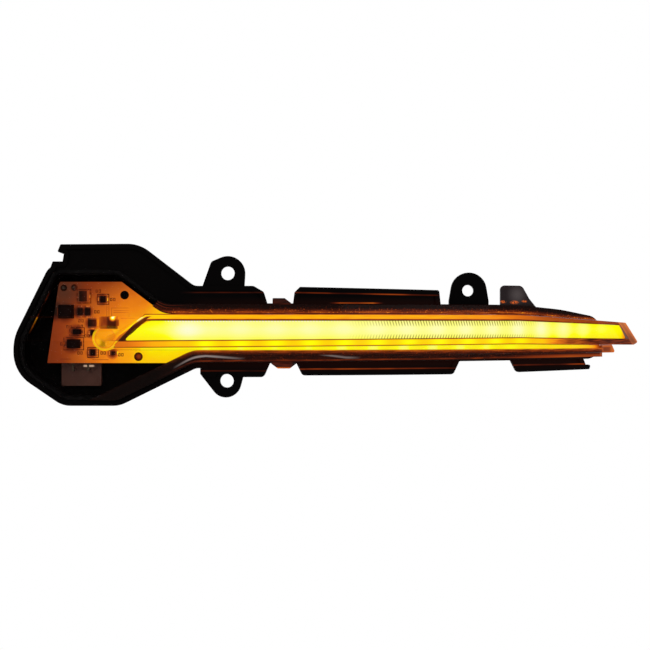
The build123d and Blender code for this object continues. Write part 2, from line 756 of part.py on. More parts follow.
# Main light guide: a bar in the blade's slot, with prism teeth on its back and a clear tongue
guide_outline = grown(slot, -GUIDE_GAP)
with BuildSketch() as guide_inner:
    add(guide_outline)
    add(span(FAR_LEFT, GUIDE_BACK_END, BELOW, ABOVE), mode=Mode.INTERSECT)
with BuildSketch() as tongue:
    with Locations(TONGUE_CENTER):
        Circle(TONGUE_RADIUS)
    with Locations(TONGUE_ROOT):
        Circle(TONGUE_ROOT_RADIUS)
    make_hull()
with BuildSketch() as guide_legs:
    add(legs(SLOT_TOP - LEG_SIZE))
    add(legs(SLOT_MIDDLE_BOTTOM + LEG_SIZE))
guide_bars = [
    curved_plate(guide_outline, LENS_BACK, SLOT_FRONT - GUIDE_FRONT_GAP),
    curved_plate(guide_inner.sketch, GUIDE_BACK, SLOT_FRONT - GUIDE_FRONT_GAP),
]
guide_feet = [
    curved_plate(guide_legs.sketch, -BOARD_FRONT, LENS_BACK),
    curved_plate(tongue.sketch, TONGUE_BACK, TONGUE_FRONT),
]
teeth_end = TOOTH_START + TOOTH_COUNT * TOOTH_PITCH
comb = []
for index in range(TOOTH_COUNT):
    run = TOOTH_START + index * TOOTH_PITCH
    comb.append(plan_point(run, GUIDE_BACK))
    comb.append(plan_point(run + TOOTH_PITCH, GUIDE_BACK + TOOTH_DEPTH))
with BuildPart() as light_guide:
    add(guide_bars)
    with BuildSketch(Plane.XY.offset(SLOT_BOTTOM)):
        with BuildLine():
            teeth = Polyline(*comb)
            comb_back = Line(plan_point(TOOTH_START, -BOARD_FRONT), plan_point(0, -BOARD_FRONT))
            comb_bend = CenterArc(
                (0, BEND_RADIUS),
                BEND_RADIUS - BOARD_FRONT,
                -90,
                math.degrees(teeth_end / BEND_RADIUS),
            )
            Line(comb_back @ 0, teeth @ 0)
            Line(comb_bend @ 1, teeth @ 1)
        make_face()
    extrude(amount=SLOT_TOP - SLOT_BOTTOM, mode=Mode.SUBTRACT)
    add(guide_feet)

# Lower light guide, in the second blade's slot
lower_guide_outline = grown(step_slot, -GUIDE_GAP)
with BuildSketch() as lower_guide_inner:
    add(lower_guide_outline)
    add(span(FAR_LEFT, GUIDE_BACK_END, BELOW, ABOVE), mode=Mode.INTERSECT)
lower_legs = legs((BLADE_BOTTOM + STEP_SLOT_BOTTOM) / 2)
lower_guide_pieces = [
    curved_plate(lower_guide_outline, LENS_BACK, STEP_SLOT_FRONT - GUIDE_FRONT_GAP),
    curved_plate(lower_guide_inner.sketch, GUIDE_BACK, STEP_SLOT_FRONT - GUIDE_FRONT_GAP),
    curved_plate(lower_legs, -BOARD_FRONT, LENS_BACK),
]
with BuildPart() as lower_light_guide:
    add(lower_guide_pieces)

# Circuit board, flat in the head and bent along the bar
board_blank = curved_plate(board.sketch, -BOARD_BACK, -BOARD_FRONT)
with BuildPart() as circuit_board:
    add(board_blank)
    with BuildSketch(front_plane(BOARD_BACK)):
        with Locations(*STAKES):
            Circle((STAKE_PIN + STAKE_CLEARANCE) / 2)
    extrude(amount=2 * BOARD_THICKNESS, both=True, mode=Mode.SUBTRACT)

# Light diodes: rounded packages with a cup, each square to the bend where it stands
with BuildPart() as led_packages:
    for run in led_runs:
        across, back = plan_point(run, -BOARD_FRONT)
        angle = max(run, 0) / BEND_RADIUS
        seat = Plane(
            origin=(across, back, SLOT_MIDDLE),
            x_dir=(math.cos(angle), math.sin(angle), 0),
            z_dir=(math.sin(angle), -math.cos(angle), 0),
        )
        with BuildSketch(seat):
            RectangleRounded(LED_LENGTH, LED_WIDTH, LED_ROUND)
        extrude(amount=LED_HEIGHT)
        with BuildSketch(seat.offset(LED_HEIGHT)):
            Circle(LED_CUP / 2)
        extrude(amount=-LED_CUP_DEPTH, mode=Mode.SUBTRACT)


def moulded_part(place, size, height):
    """Moulded body with drafted sides and a metal lead at each end."""
    with BuildPart() as body:
        with BuildSketch(front_plane(BOARD_FRONT)):
            with Locations(place):
                Rectangle(*size)
        extrude(amount=height, taper=BODY_DRAFT)
        with BuildSketch(front_plane(BOARD_FRONT)):
            with Locations(place):
                Rectangle(size[0] + 2 * LEAD_LENGTH, size[1] / 2)
        extrude(amount=LEAD_THICKNESS)
    return body.part


def chip_part(place, size, height):
    """Ceramic chip with a metal cap over each end of its longer side."""
    lengthwise = size[0] >= size[1]
    cap = (CAP_LENGTH, size[1]) if lengthwise else (size[0], CAP_LENGTH)
    shift = (size[0] - CAP_LENGTH, 0) if lengthwise else (0, size[1] - CAP_LENGTH)
    with BuildPart() as body:
        with BuildSketch(front_plane(BOARD_FRONT)):
            with Locations(place):
                Rectangle(*size)
        extrude(amount=height)
        with BuildSketch(front_plane(BOARD_FRONT)):
            with Locations(place):
                with Locations((-shift[0] / 2, -shift[1] / 2), (shift[0] / 2, shift[1] / 2)):
                    Rectangle(cap[0] + 2 * CAP_SWELL, cap[1] + 2 * CAP_SWELL)
        extrude(amount=height + CAP_SWELL)
    return body.part


board_parts = {
    "input_diode": moulded_part(*INPUT_DIODE),
    "bulk_capacitor": moulded_part(*BULK_CAPACITOR),
    "clamp_diode": moulded_part(*CLAMP_DIODE),
    "regulator": moulded_part(*REGULATOR),
    "input_capacitor": chip_part(*INPUT_CAPACITOR),
    "filter_capacitor": chip_part(*FILTER_CAPACITOR),
    "bypass_capacitor": chip_part(*BYPASS_CAPACITOR),
    "upper_resistor": chip_part(*UPPER_RESISTOR),
    "left_sense_resistor": chip_part(*LEFT_SENSE_RESISTOR),
    "right_sense_resistor": chip_part(*RIGHT_SENSE_RESISTOR),
    "divider_resistor": chip_part(*DIVIDER_RESISTOR),
    "lower_resistor": chip_part(*LOWER_RESISTOR),
    "tongue_resistor": chip_part(*TONGUE_RESISTOR),
}

with BuildPart() as solder_joints:
    with BuildSketch(front_plane(BOARD_FRONT)):
        with Locations(*SOLDER_JOINTS):
            Circle(SOLDER_RADIUS)
    extrude(amount=SOLDER_HEIGHT, taper=SOLDER_DRAFT)

# Plug socket: a flange on the tray's floor, and a hollow body through it
socket_mouth = HEAD_DEPTH + SOCKET_REACH
pin_places = [
    (SOCKET_CENTER[0] - PIN_PITCH / 2, SOCKET_CENTER[1]),
    (SOCKET_CENTER[0] + PIN_PITCH / 2, SOCKET_CENTER[1]),
]
with BuildPart() as plug_socket:
    with BuildSketch(front_plane(HEAD_FLOOR)):
        with Locations(SOCKET_CENTER):
            RectangleRounded(*SOCKET_FLANGE, SOCKET_ROUND)
    extrude(amount=SOCKET_FLANGE_THICKNESS)
    with BuildSketch(front_plane(HEAD_FLOOR)):
        with Locations(SOCKET_CENTER):
            Rectangle(*SOCKET_BODY)
    extrude(amount=HEAD_FLOOR - socket_mouth)
    with BuildSketch(front_plane(socket_mouth)):
        with Locations(SOCKET_CENTER):
            Rectangle(SOCKET_BODY[0] - 2 * SOCKET_WALL, SOCKET_BODY[1] - 2 * SOCKET_WALL)
    extrude(amount=SOCKET_HOLLOW_DEPTH, mode=Mode.SUBTRACT)
    with BuildSketch(front_plane(socket_mouth)):
        with Locations(*pin_places):
            Rectangle(PIN_SIZE, PIN_SIZE)
    extrude(amount=socket_mouth, mode=Mode.SUBTRACT)

# Socket pins: square wire from the hollow, bent up against the board's back
pin_tip = socket_mouth - SOCKET_HOLLOW_DEPTH + PIN_REACH
foot_top = BOARD_BOTTOM + PIN_FOOT
with BuildPart() as socket_pins:
    with BuildSketch(front_plane(pin_tip)):
        with Locations(*pin_places):
            Rectangle(PIN_SIZE, PIN_SIZE)
    extrude(amount=pin_tip - BOARD_BACK)
    with BuildSketch(front_plane(BOARD_BACK)):
        for across, height in pin_places:
            add(span(across - PIN_SIZE / 2, across + PIN_SIZE / 2, height - PIN_SIZE / 2, foot_top))
    extrude(amount=-PIN_SIZE)

parts = {
    "rear_housing": rear_housing.part,
    "front_lens": front_lens.part,
    "lens_seal": lens_seal.part,
    "light_guide": light_guide.part,
    "lower_light_guide": lower_light_guide.part,
    "circuit_board": circuit_board.part,
    "led_packages": led_packages.part,
    "solder_joints": solder_joints.part,
    "plug_socket": plug_socket.part,
    "socket_pins": socket_pins.part,
}
parts.update(board_parts)
os.makedirs("parts", exist_ok=True)
for name, shape in parts.items():
    shape.label = name
    export_step(shape, f"parts/{name}.step")
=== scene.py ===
import math
from collections import namedtuple

import bmesh
import bpy
from mathutils import Matrix, Vector


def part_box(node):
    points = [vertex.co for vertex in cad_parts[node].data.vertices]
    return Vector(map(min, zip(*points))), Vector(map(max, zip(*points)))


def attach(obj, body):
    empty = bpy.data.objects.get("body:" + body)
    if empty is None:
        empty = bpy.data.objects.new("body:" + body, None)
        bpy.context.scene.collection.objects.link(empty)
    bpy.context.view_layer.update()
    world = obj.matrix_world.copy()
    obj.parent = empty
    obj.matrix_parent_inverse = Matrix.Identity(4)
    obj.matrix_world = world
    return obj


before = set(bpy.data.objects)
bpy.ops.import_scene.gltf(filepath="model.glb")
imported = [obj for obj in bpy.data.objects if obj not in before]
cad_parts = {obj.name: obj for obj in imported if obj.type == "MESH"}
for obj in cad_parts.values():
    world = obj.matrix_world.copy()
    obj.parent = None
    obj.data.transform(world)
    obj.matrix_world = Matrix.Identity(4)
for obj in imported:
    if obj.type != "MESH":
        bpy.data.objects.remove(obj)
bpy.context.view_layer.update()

bl_info = {
    "name": "Side repeater lamp",
    "version": (1, 0, 0),
    "blender": (4, 5, 0),
    "location": "3D View > Sidebar > Lamp",
    "description": "Finishes a lit amber side repeater lamp and sets it on a plain stage",
    "category": "Object",
}

MM = 0.001
WHOLE_TURN = 2 * math.pi
QUARTER_TURN = math.pi / 2

# Plan curve of the lamp, its row of light diodes and its guide's teeth, in millimetres
BEND_RADIUS = 200.0
LED_COUNT = 15
LED_START = -13.5
LED_PITCH = 12.0
LED_RATIO = 0.98
LED_FLOOR = 0.8
LED_CUP = 1.1
DOME_RADIUS = 0.96 * LED_CUP
DOME_GAP = 0.02
TOOTH_PITCH = 0.95
TOOTH_SLANT = 0.3
TONGUE_CENTER = (-40.6, -21.4)
TONGUE_FRONT = -0.2
TONGUE_RIGHT = -32.5
BOARD_FRONT = 4.5

# The tray: how far its outside lies behind the seat face, its flat far ear, and its staked pin
HEAD_BACK = 12.0
HEAD_SHELL = 0.3 - HEAD_BACK
FLANGE_SHELL = -1.8
FAR_EAR_DEPTH = 22.0
FAR_EAR_BOTTOM = -11.5
STAKE_CENTER = (-29.8, -27.5)

# Bright places between the light diodes, at a pitch that falls along the lamp
GLOW_START = 4.3
GLOW_REACH = 740.0
GLOW_RATIO = 0.985

# Heights, places and slopes of the lens's walls, in millimetres from the upper ear's hole
BLADE_TOP = -13.5
ABOVE_BLADE = BLADE_TOP + 0.1
UPPER_WALL = BLADE_TOP - 0.12
SLOT_TOP = -15.4
SLOT_MIDDLE = -18.85
BLADE_BOTTOM = -24.3
WEB_FLOOR = BLADE_BOTTOM - 0.4
STEP_SLOT_BOTTOM = -25.6
LOWER_WALL = STEP_SLOT_BOTTOM + 0.3
LOWER_RIM = STEP_SLOT_BOTTOM + 0.5
LOWER_RIM_TOP = STEP_SLOT_BOTTOM + 0.6
STEP_BOTTOM = -26.9
TAPER_START = 98.0
TAPER_FALL = 0.0408
TAPER_NARROW = 0.01295
BLADE_START = -37.0
BLADE_RISE = 0.9
TIP_RUN = 143.0
TIP_SINK = 0.75
TIP_SLOPE = 0.752
NECK_TOP = -21.3
NECK_TOP_SLOPE = 0.75
NECK_BOTTOM = -11.3
NECK_BOTTOM_SLOPE = 0.484
NECK_ROUNDING = 4.0
RIM_RISE = 0.0066
BAR_LEFT = -14.9
BAR_LEFT_SLOPE = 0.935
END_CENTER = (-10.5, -41.0)
END_RADIUS = 30.45
END_RIGHT = -24.0
HEAD_EDGE_SLOPE = 0.495

# Where the guide's light enters the board, and how fast it falls off upwards and downwards
BOARD_LIGHT = (-26.0, -22.0)
FALL_UPWARDS = 1.28
FALL_DOWNWARDS = 0.55
# How far a board part's shadow reaches past it, and how far it lies to the lower left
SHADOW_MARGIN = 1.3
SHADOW_SHIFT = (-0.4, -0.1)

# What an overdriven amber light looks like, from dark to blown out
AMBER_STEPS = (
    (0.00, "#000000"),
    (0.10, "#1A0603"),
    (0.22, "#4A1606"),
    (0.34, "#8A340C"),
    (0.46, "#C05C14"),
    (0.52, "#DC6E10"),
    (0.58, "#F68A10"),
    (0.68, "#FFB808"),
    (0.78, "#FFE000"),
    (0.86, "#FFFF00"),
    (0.93, "#FFFF90"),
    (1.00, "#FFFFE8"),
)

RESISTORS = (
    "upper_resistor", "left_sense_resistor", "right_sense_resistor", "divider_resistor",
    "lower_resistor", "tongue_resistor",
)
CERAMICS = ("input_capacitor", "filter_capacitor", "bypass_capacitor")
MOULDED = ("input_diode", "clamp_diode", "regulator")
OUTLINED = ("input_capacitor", "upper_resistor", "clamp_diode", "regulator", "lower_resistor")
# Finish, parts, colours of body and ends, length of the ends in millimetres, and level of the painted light
# on the side towards the guide
CHIP_FINISHES = (
    ("fired_film", RESISTORS, "#070403", "#33241A", 0.4, 0.12),
    ("fired_ceramic", CERAMICS, "#140A06", "#3A2A1C", 0.45, 0.2),
    ("moulded_epoxy", MOULDED, "#030202", "#2A1E15", 0.5, 0.06),
)

# Routes of the board's conductors in the front view, in millimetres
ROUTES = (
    ((-40.5, -10.4), (-40.5, -14.1)),
    ((-39.8, -10.4), (-39.8, -14.1)),
    ((-38.9, -14.1), (-38.9, -11.4), (-33.1, -11.4)),
    ((-38.2, -12.3), (-33.1, -12.3)),
    ((-38.2, -12.9), (-33.1, -12.9), (-33.1, -14.4)),
    ((-35.8, -14.8), (-30.5, -14.8)),
    ((-56.0, -28.4), (-52.5, -28.4)),
    ((-45.2, -28.6), (-40.0, -28.6)),
)
# Pairs of small printed boxes beside the parts: lower left corners, size and pitch in millimetres,
# and the width of their lines as a share of an outline's
TICK_PLACES = (
    (-44.2, -6.3), (-39.4, -9.1), (-44.7, -13.2), (-50.0, -16.2), (-50.2, -18.0), (-54.0, -18.2),
    (-48.0, -21.2), (-50.3, -26.9), (-42.6, -26.9), (-39.3, -26.9), (-36.7, -27.5), (-56.0, -23.9),
)
TICK_SIZE = (0.75, 1.05)
TICK_PITCH = 1.0
TICK_LINE = 0.8
# A solder fillet's bevel, as a share of its length, and the hollow shape of the bevel
FILLET_BEVEL = 0.9
FILLET_HOLLOW = 0.3
# Ejectors' marks: places, rise and sink in millimetres, and the rim as a share of the radius
EJECTOR_PLACES = ((-58.0, -14.0), (-44.0, -10.0), (-32.0, -16.0), (-34.0, -33.0), (-62.0, -29.0))
EJECTOR_RISE = 0.12
EJECTOR_SINK = 0.09
EJECTOR_RIM = 0.12

# The stage, in metres; a lamp has its name, place and share of the key lamp's power
FLOOR_SIZE = (1.8, 1.2)
FLOOR_CENTER = (0, -0.25)
LAMP_SIZE = 0.6
LAMPS = (
    ("key_lamp", (-0.35, -0.7, 0.55), 1.0),
    ("fill_lamp", (0.55, -0.6, 0.25), 0.6),
    ("back_lamp", (0.1, 0.7, 0.5), 0.8),
)
SENSOR_WIDTH = 36.0

# The setting that holds a node's mode
MODE_SETTINGS = {
    "Math": "operation",
    "VectorMath": "operation",
    "Mix": "data_type",
    "MapRange": "interpolation_type",
}

# A place on the lamp: one socket for each way in which it is measured, in millimetres
Place = namedtuple("Place", "across run offset height")


def hex_color(text):
    """Linear colour, with full alpha, of an sRGB hex value."""
    channels = []
    for start in (1, 3, 5):
        value = int(text[start:start + 2], 16) / 255
        channels.append(value / 12.92 if value <= 0.04045 else ((value + 0.055) / 1.055) ** 2.4)
    return (*channels, 1.0)


def darker(color, share):
    """Colour with its light cut to a share, or raised where the share is over 1."""
    return (color[0] * share, color[1] * share, color[2] * share, 1.0)


def per_mm(size):
    """Texture scale that gives a pattern of a size in millimetres."""
    return 1 / (size * MM)


def wire(tree, socket, value):
    """Link a value to a socket, or set it there where it is a constant."""
    if isinstance(value, bpy.types.NodeSocket):
        tree.links.new(value, socket)
    else:
        socket.default_value = value


def feed(tree, node, **inputs):
    """Wire a node's inputs by their names, with an underline for each space."""
    for name, value in inputs.items():
        wire(tree, node.inputs[name.replace("_", " ")], value)


def add(tree, kind, *values, out=0, stops=(), **inputs):
    """Add one shader node with its settings and links, and return one of its outputs, or the node
    where out is None. The kind may end with the node's mode, as in "Math ADD". The values go in
    order to the inputs that the mode uses, and the named ones to the inputs of those names."""
    name, *modes = kind.split()
    node = tree.nodes.new("ShaderNode" + name)
    for mode in modes:
        setattr(node, MODE_SETTINGS[name], mode)
    for socket, value in zip([socket for socket in node.inputs if socket.enabled], values):
        wire(tree, socket, value)
    feed(tree, node, **inputs)
    for index, (place, color) in enumerate(stops):
        elements = node.color_ramp.elements
        element = elements[index] if index < 2 else elements.new(place)
        element.position = place
        element.color = color
    if out is None:
        return node
    return [socket for socket in node.outputs if socket.enabled][out]


def chain(tree, operation, *values):
    """Result of one operation on several values in turn, such as the product of them all."""
    result = values[0]
    for value in values[1:]:
        result = add(tree, "Math " + operation, result, value)
    return result


def start_material(name, **constants):
    """New material with its shader's constant sockets set; returns its tree and shader."""
    material = bpy.data.materials.new(name)
    material.use_nodes = True
    tree = material.node_tree
    shader = tree.nodes["Principled BSDF"]
    feed(tree, shader, **constants)
    return material, tree, shader


def object_place(tree):
    """Place on the lamp in metres."""
    return add(tree, "TexCoord", out=None).outputs["Object"]


def lamp_places(tree):
    """Place on the lamp in millimetres: across, run along the bend, offset to the front, height."""
    scaled = add(tree, "VectorMath SCALE", object_place(tree), 1 / MM)
    across, depth, height = add(tree, "SeparateXYZ", scaled, out=None).outputs
    bent = add(tree, "Math MAXIMUM", across, 0.0)
    flat = add(tree, "Math MINIMUM", across, 0.0)
    back = add(tree, "Math SUBTRACT", BEND_RADIUS, depth)
    angle = add(tree, "Math ARCTAN2", bent, back)
    run = add(tree, "Math MULTIPLY_ADD", angle, BEND_RADIUS, flat)
    spoke = add(tree, "CombineXYZ", bent, back)
    length = add(tree, "VectorMath LENGTH", spoke)
    offset = add(tree, "Math SUBTRACT", length, BEND_RADIUS)
    return Place(across, run, offset, height)


def profile(tree, value, *stops):
    """Level that follows a value through (place, level) stops, straight between them."""
    low = stops[0][0]
    high = stops[-1][0]
    share = add(tree, "MapRange", value, low, high)
    grey = [((place - low) / (high - low), (level, level, level, 1)) for place, level in stops]
    return add(tree, "ValToRGB", share, stops=grey)


def patch(tree, first, first_stops, second, second_stops):
    """Level of a patch: the product of two profiles, such as one along the lamp and one up it."""
    return chain(tree, "MULTIPLY", profile(tree, first, *first_stops), profile(tree, second, *second_stops))


def distance(tree, at, center):
    """Distance from a centre in the front view, in millimetres."""
    place = add(tree, "CombineXYZ", at.across, at.height)
    return add(tree, "VectorMath DISTANCE", place, (*center, 0))


def spot(tree, at, center, radius):
    """Soft round mark in the front view: 1 at its centre and 0 from its radius on."""
    return add(tree, "MapRange SMOOTHSTEP", distance(tree, at, center), 0.0, radius, 1.0, 0.0)


def amber(tree, level):
    """Colour of the amber light at a level from 0, dark, to 1, blown out."""
    return add(tree, "ValToRGB", level, stops=[(place, hex_color(text)) for place, text in AMBER_STEPS])


def glow_wave(tree, at):
    """Wave along the lamp: 1 at each bright place between two light diodes, 0 midway to the next."""
    gone = add(tree, "Math ADD", at.run, -GLOW_START)
    left = add(tree, "Math MULTIPLY_ADD", gone, -1 / GLOW_REACH, 1.0)
    index = add(tree, "Math LOGARITHM", left, GLOW_RATIO)
    turn = add(tree, "Math MULTIPLY", index, WHOLE_TURN)
    wave = add(tree, "Math COSINE", turn)
    return add(tree, "Math MULTIPLY_ADD", wave, 0.5, 0.5)


def streaks(tree, at, length, thickness):
    """Noise drawn out along the lamp, as scratches and drawn reflections are."""
    parts = []
    for value, size in ((at.run, length), (at.offset, length), (at.height, thickness)):
        parts.append(add(tree, "Math MULTIPLY", value, 1 / size))
    place = add(tree, "CombineXYZ", *parts)
    return add(tree, "TexNoise", Vector=place, Scale=1.0, Detail=2.0)


def clouds(tree, size, first, second):
    """Soft cloudy change between two colours, of a size in millimetres; also the cloud itself."""
    cloud = add(tree, "TexNoise", Vector=object_place(tree), Scale=per_mm(size), Detail=3.0)
    return add(tree, "Mix RGBA", cloud, first, second), cloud


def tray_outside(tree, at):
    """1 on the outside of the tray, which is seen from behind and is painted paler, and 0 on what the front
    shows.
    """
    beside = add(tree, "MapRange", at.across, -14.0, -8.0)
    over = add(tree, "MapRange", at.height, 0.5, 1.5)
    flanged = add(tree, "Math MAXIMUM", beside, over)
    # The far ear is flat and not bent, so its front lies further back than the flange's
    ear_run = profile(tree, at.across, (70, 0), (71, 1), (89, 1), (90, 0))
    ear_height = add(tree, "Math GREATER_THAN", at.height, FAR_EAR_BOTTOM)
    depth = add(tree, "SeparateXYZ", object_place(tree), out=1)
    ear_front = add(tree, "Math LESS_THAN", depth, FAR_EAR_DEPTH * MM)
    ear = chain(tree, "MULTIPLY", ear_run, ear_height, ear_front)
    open_share = add(tree, "Math SUBTRACT", flanged, ear)
    shell = add(tree, "MapRange", open_share, To_Min=HEAD_SHELL, To_Max=FLANGE_SHELL)
    past_shell = add(tree, "Math SUBTRACT", at.offset, shell)
    return add(tree, "MapRange", past_shell, -0.2, 0.2, 1.0, 0.0)


def tray_light(tree, at):
    """Level of the light that leaks on to the tray: broken lines along its lip, and a lit pin."""
    slope = add(tree, "MapRange", at.across, 22.0, 75.0, 6.33, 7.15)
    from_upper = add(tree, "Math ADD", at.height, slope)
    upper = profile(tree, from_upper, (-0.35, 0), (-0.1, 1), (0.1, 1), (0.35, 0))
    drop = profile(tree, at.across, (14, 0.325), (21, 0.19), (80, 0.19), (94, 0))
    from_lower = add(tree, "Math MULTIPLY_ADD", drop, 4.0, at.height)
    lower = profile(tree, from_lower, (-31.25, 0), (-31.0, 1), (-30.8, 1), (-30.5, 0))
    lines = add(tree, "Math ADD", upper, lower)
    broken = add(tree, "MapRange", streaks(tree, at, 16.0, 3.0), 0.3, 0.72, 0.12, 0.44)
    glint = add(tree, "Math MULTIPLY", lines, broken)
    band = profile(tree, at.height, (-33, 0), (-30, 0.07), (-20, 0.07), (-9.5, 0.05), (-7.5, 0))
    level = add(tree, "Math ADD", glint, band)
    along = profile(
        tree, at.across, (-16, 0), (-9, 0.5), (12, 0.7), (22, 0.8), (40, 1), (75, 0.9), (94, 0.9),
        (124, 0.9), (126, 0),
    )
    lit = add(tree, "Math MULTIPLY", level, along)
    edge = patch(
        tree, at.height, ((-10.0, 0), (-9.85, 0.42), (-9.65, 0.42), (-9.45, 0)),
        at.across, ((33, 0), (37, 0.8), (43, 0.7), (48, 1), (52, 0)),
    )
    whole = add(tree, "Math ADD", lit, edge)
    is_front = add(tree, "Math GREATER_THAN", at.offset, -0.1)
    shown = add(tree, "Math MULTIPLY", whole, is_front)
    on_board = profile(tree, at.offset, (-4.7, 0), (-4.5, 1), (-3.4, 1), (-3.2, 0))
    stake = chain(tree, "MULTIPLY", spot(tree, at, STAKE_CENTER, 2.4), 0.34, on_board)
    return add(tree, "Math ADD", shown, stake)


def moulded_black_abs(color, glow):
    """Black ABS, injection moulded: near black and satin, with a fine spark-eroded grain. Where the
    light leaks along its lip and walls it shows thin brown lines. Its front is seen against the
    lamp's own light, so its colour is painted blacker and less glossy there, and paler behind."""
    material, tree, shader = start_material("moulded_black_abs", Emission_Strength=glow)
    at = lamp_places(tree)
    # Painted shade and light: the colour is blacker on the front and several times paler on the outside
    # behind
    dark, cloud = clouds(tree, 9, darker(color, 0.6), darker(color, 1.5))
    pale = add(tree, "Mix RGBA", cloud, darker(color, 5.0), darker(color, 9.0))
    behind = tray_outside(tree, at)
    # The real grain is about 0.05 mm; it is drawn coarser so that it shows
    grain = add(tree, "TexNoise", Vector=object_place(tree), Scale=per_mm(0.35), Detail=2.0)
    feed(
        tree, shader,
        Base_Color=add(tree, "Mix RGBA", behind, dark, pale),
        Roughness=add(tree, "MapRange", cloud, To_Min=0.42, To_Max=0.6),
        Specular_IOR_Level=add(tree, "MapRange", behind, To_Min=0.015, To_Max=0.35),
        Normal=add(tree, "Bump", Strength=0.2, Distance=0.03 * MM, Height=grain),
        Emission_Color=amber(tree, tray_light(tree, at)),
    )
    return material


def black_sealing_bead(color):
    """Hot-melt sealing bead: black, soft and slightly uneven."""
    material, tree, shader = start_material("black_sealing_bead", Specular_IOR_Level=0.04)
    tint, lumps = clouds(tree, 2, darker(color, 0.7), darker(color, 1.8))
    rough = add(tree, "MapRange", lumps, To_Min=0.5, To_Max=0.75)
    relief = add(tree, "Bump", Strength=0.4, Distance=0.1 * MM, Height=lumps)
    feed(tree, shader, Base_Color=tint, Roughness=rough, Normal=relief)
    return material


def start_lit_acrylic(name, glow):
    """Start of both guides' materials: clear polished acrylic, of which little but its light shows."""
    return start_material(
        name, Base_Color=hex_color("#241406"), Roughness=0.12, Specular_IOR_Level=0.1,
        Emission_Strength=glow,
    )


def guide_light(tree, at):
    """Colour of the light in the main guide, with its prism teeth as ticks along both edges."""
    base = profile(
        tree, at.run, (-36, 0.84), (-27, 0.862), (-21, 0.88), (-17, 0.915), (-4, 0.935), (60, 0.935),
        (100, 0.915), (118, 0.885), (130, 0.865), (143.5, 0.86), (146, 0.84), (147.4, 0.66), (149, 0.5),
    )
    edge = profile(
        tree, at.height, (-22.4, 0.075), (-21.4, 0.05), (-19.8, 0.012), (-18.4, 0.0), (-17, 0.012),
        (-15.2, 0.03),
    )
    dimmed = add(tree, "Math SUBTRACT", base, edge)
    depth = profile(
        tree, at.run, (-12, 0.0), (0, 0.015), (60, 0.018), (92, 0.035), (106, 0.06), (122, 0.055),
        (134, 0.02), (142, 0),
    )
    spots = add(tree, "Math MULTIPLY_ADD", glow_wave(tree, at), depth, dimmed)
    hot = spot(tree, at, (-12.7, -18.9), 7.5)
    level = add(tree, "Math MULTIPLY_ADD", hot, 0.06, spots)
    from_middle = add(tree, "Math ADD", at.height, -SLOT_MIDDLE)
    aside = add(tree, "Math ABSOLUTE", from_middle)
    slant = add(tree, "Math MULTIPLY_ADD", aside, TOOTH_SLANT, at.run)
    phase = add(tree, "Math MULTIPLY", slant, WHOLE_TURN / TOOTH_PITCH)
    tooth = add(tree, "MapRange", add(tree, "Math COSINE", phase), 0.15, 0.8)
    rows = patch(
        tree, at.height, (
            (-22.0, 0.5), (-21.4, 1.0), (-20.6, 0.7), (-20.0, 0.0), (-17.6, 0.0), (-17.0, 0.7),
            (-16.0, 1.0), (-15.5, 0.8),
        ),
        at.run, ((38, 0), (45, 0.35), (54, 0.9), (70, 1), (92, 1), (99, 0.6), (108, 0)),
    )
    shade = add(tree, "Math MULTIPLY", tooth, rows)
    rag = patch(
        tree, at.height, ((-16.1, 0), (-15.85, 1), (-15.6, 1), (-15.45, 0)),
        at.run, ((-21, 0), (-18, 1), (-2, 0.8), (3, 0.3), (10, 0.6), (30, 0.4), (38, 0)),
    )
    ragged = add(tree, "Math MULTIPLY", rag, tooth)
    whiter = add(tree, "Math MULTIPLY_ADD", ragged, 0.2, level)
    return add(tree, "Mix RGBA", shade, amber(tree, whiter), hex_color("#877A18"))


def lit_guide_acrylic(glow):
    """Clear acrylic, moulded and polished, filled with amber light: pale along the middle, yellower
    at its edges, with the prism teeth as fine ticks and a see-through tongue over the board."""
    material, tree, shader = start_lit_acrylic("lit_guide_acrylic", glow)
    at = lamp_places(tree)
    # The tongue: thin, over the board, with a brighter rim
    is_thin = add(tree, "Math LESS_THAN", at.offset, TONGUE_FRONT)
    is_left = add(tree, "Math LESS_THAN", at.across, TONGUE_RIGHT)
    tongue = add(tree, "Math MULTIPLY", is_thin, is_left)
    away = distance(tree, at, TONGUE_CENTER)
    rim = profile(
        tree, away, (0, 0.66), (3.0, 0.68), (3.3, 0.56), (3.5, 0.69), (3.9, 0.73), (4.2, 0.71), (9, 0.74),
    )
    clear = profile(tree, away, (0, 0.22), (3.0, 0.26), (3.4, 0.5), (3.9, 0.52), (4.2, 0.45), (8, 0.45))
    fading = add(tree, "MapRange", at.height, -19.6, -18.2, 1.0, 0.05)
    faded = add(tree, "Math MULTIPLY", clear, fading)
    bright_place = spot(tree, at, (-42.9, -22.7), 1.6)
    cover = add(tree, "Math MULTIPLY_ADD", bright_place, 0.6, faded)
    feed(
        tree, shader,
        Emission_Color=add(tree, "Mix RGBA", tongue, guide_light(tree, at), amber(tree, rim)),
        Alpha=add(tree, "Mix FLOAT", tongue, 1.0, cover),
    )
    return material


def lit_lower_acrylic(glow):
    """Thin lower guide of the same acrylic: yellow, with a pale place between two light diodes."""
    material, tree, shader = start_lit_acrylic("lit_lower_acrylic", glow)
    at = lamp_places(tree)
    base = profile(
        tree, at.run, (-30, 0.76), (-24, 0.8), (-15, 0.82), (94, 0.82), (106, 0.79), (124, 0.765),
        (130, 0.73), (134, 0.68), (136.3, 0.6), (137.6, 0.48), (138.4, 0.34), (140, 0.3),
    )
    wave = add(tree, "Math POWER", glow_wave(tree, at), 1.3)
    fade = profile(
        tree, at.run, (-24, 0.02), (-10, 0.05), (24, 0.045), (40, 0.065), (70, 0.07), (98, 0.045),
        (112, 0.01),
    )
    level = add(tree, "Math MULTIPLY_ADD", wave, fade, base)
    feed(tree, shader, Emission_Color=amber(tree, level))
    return material


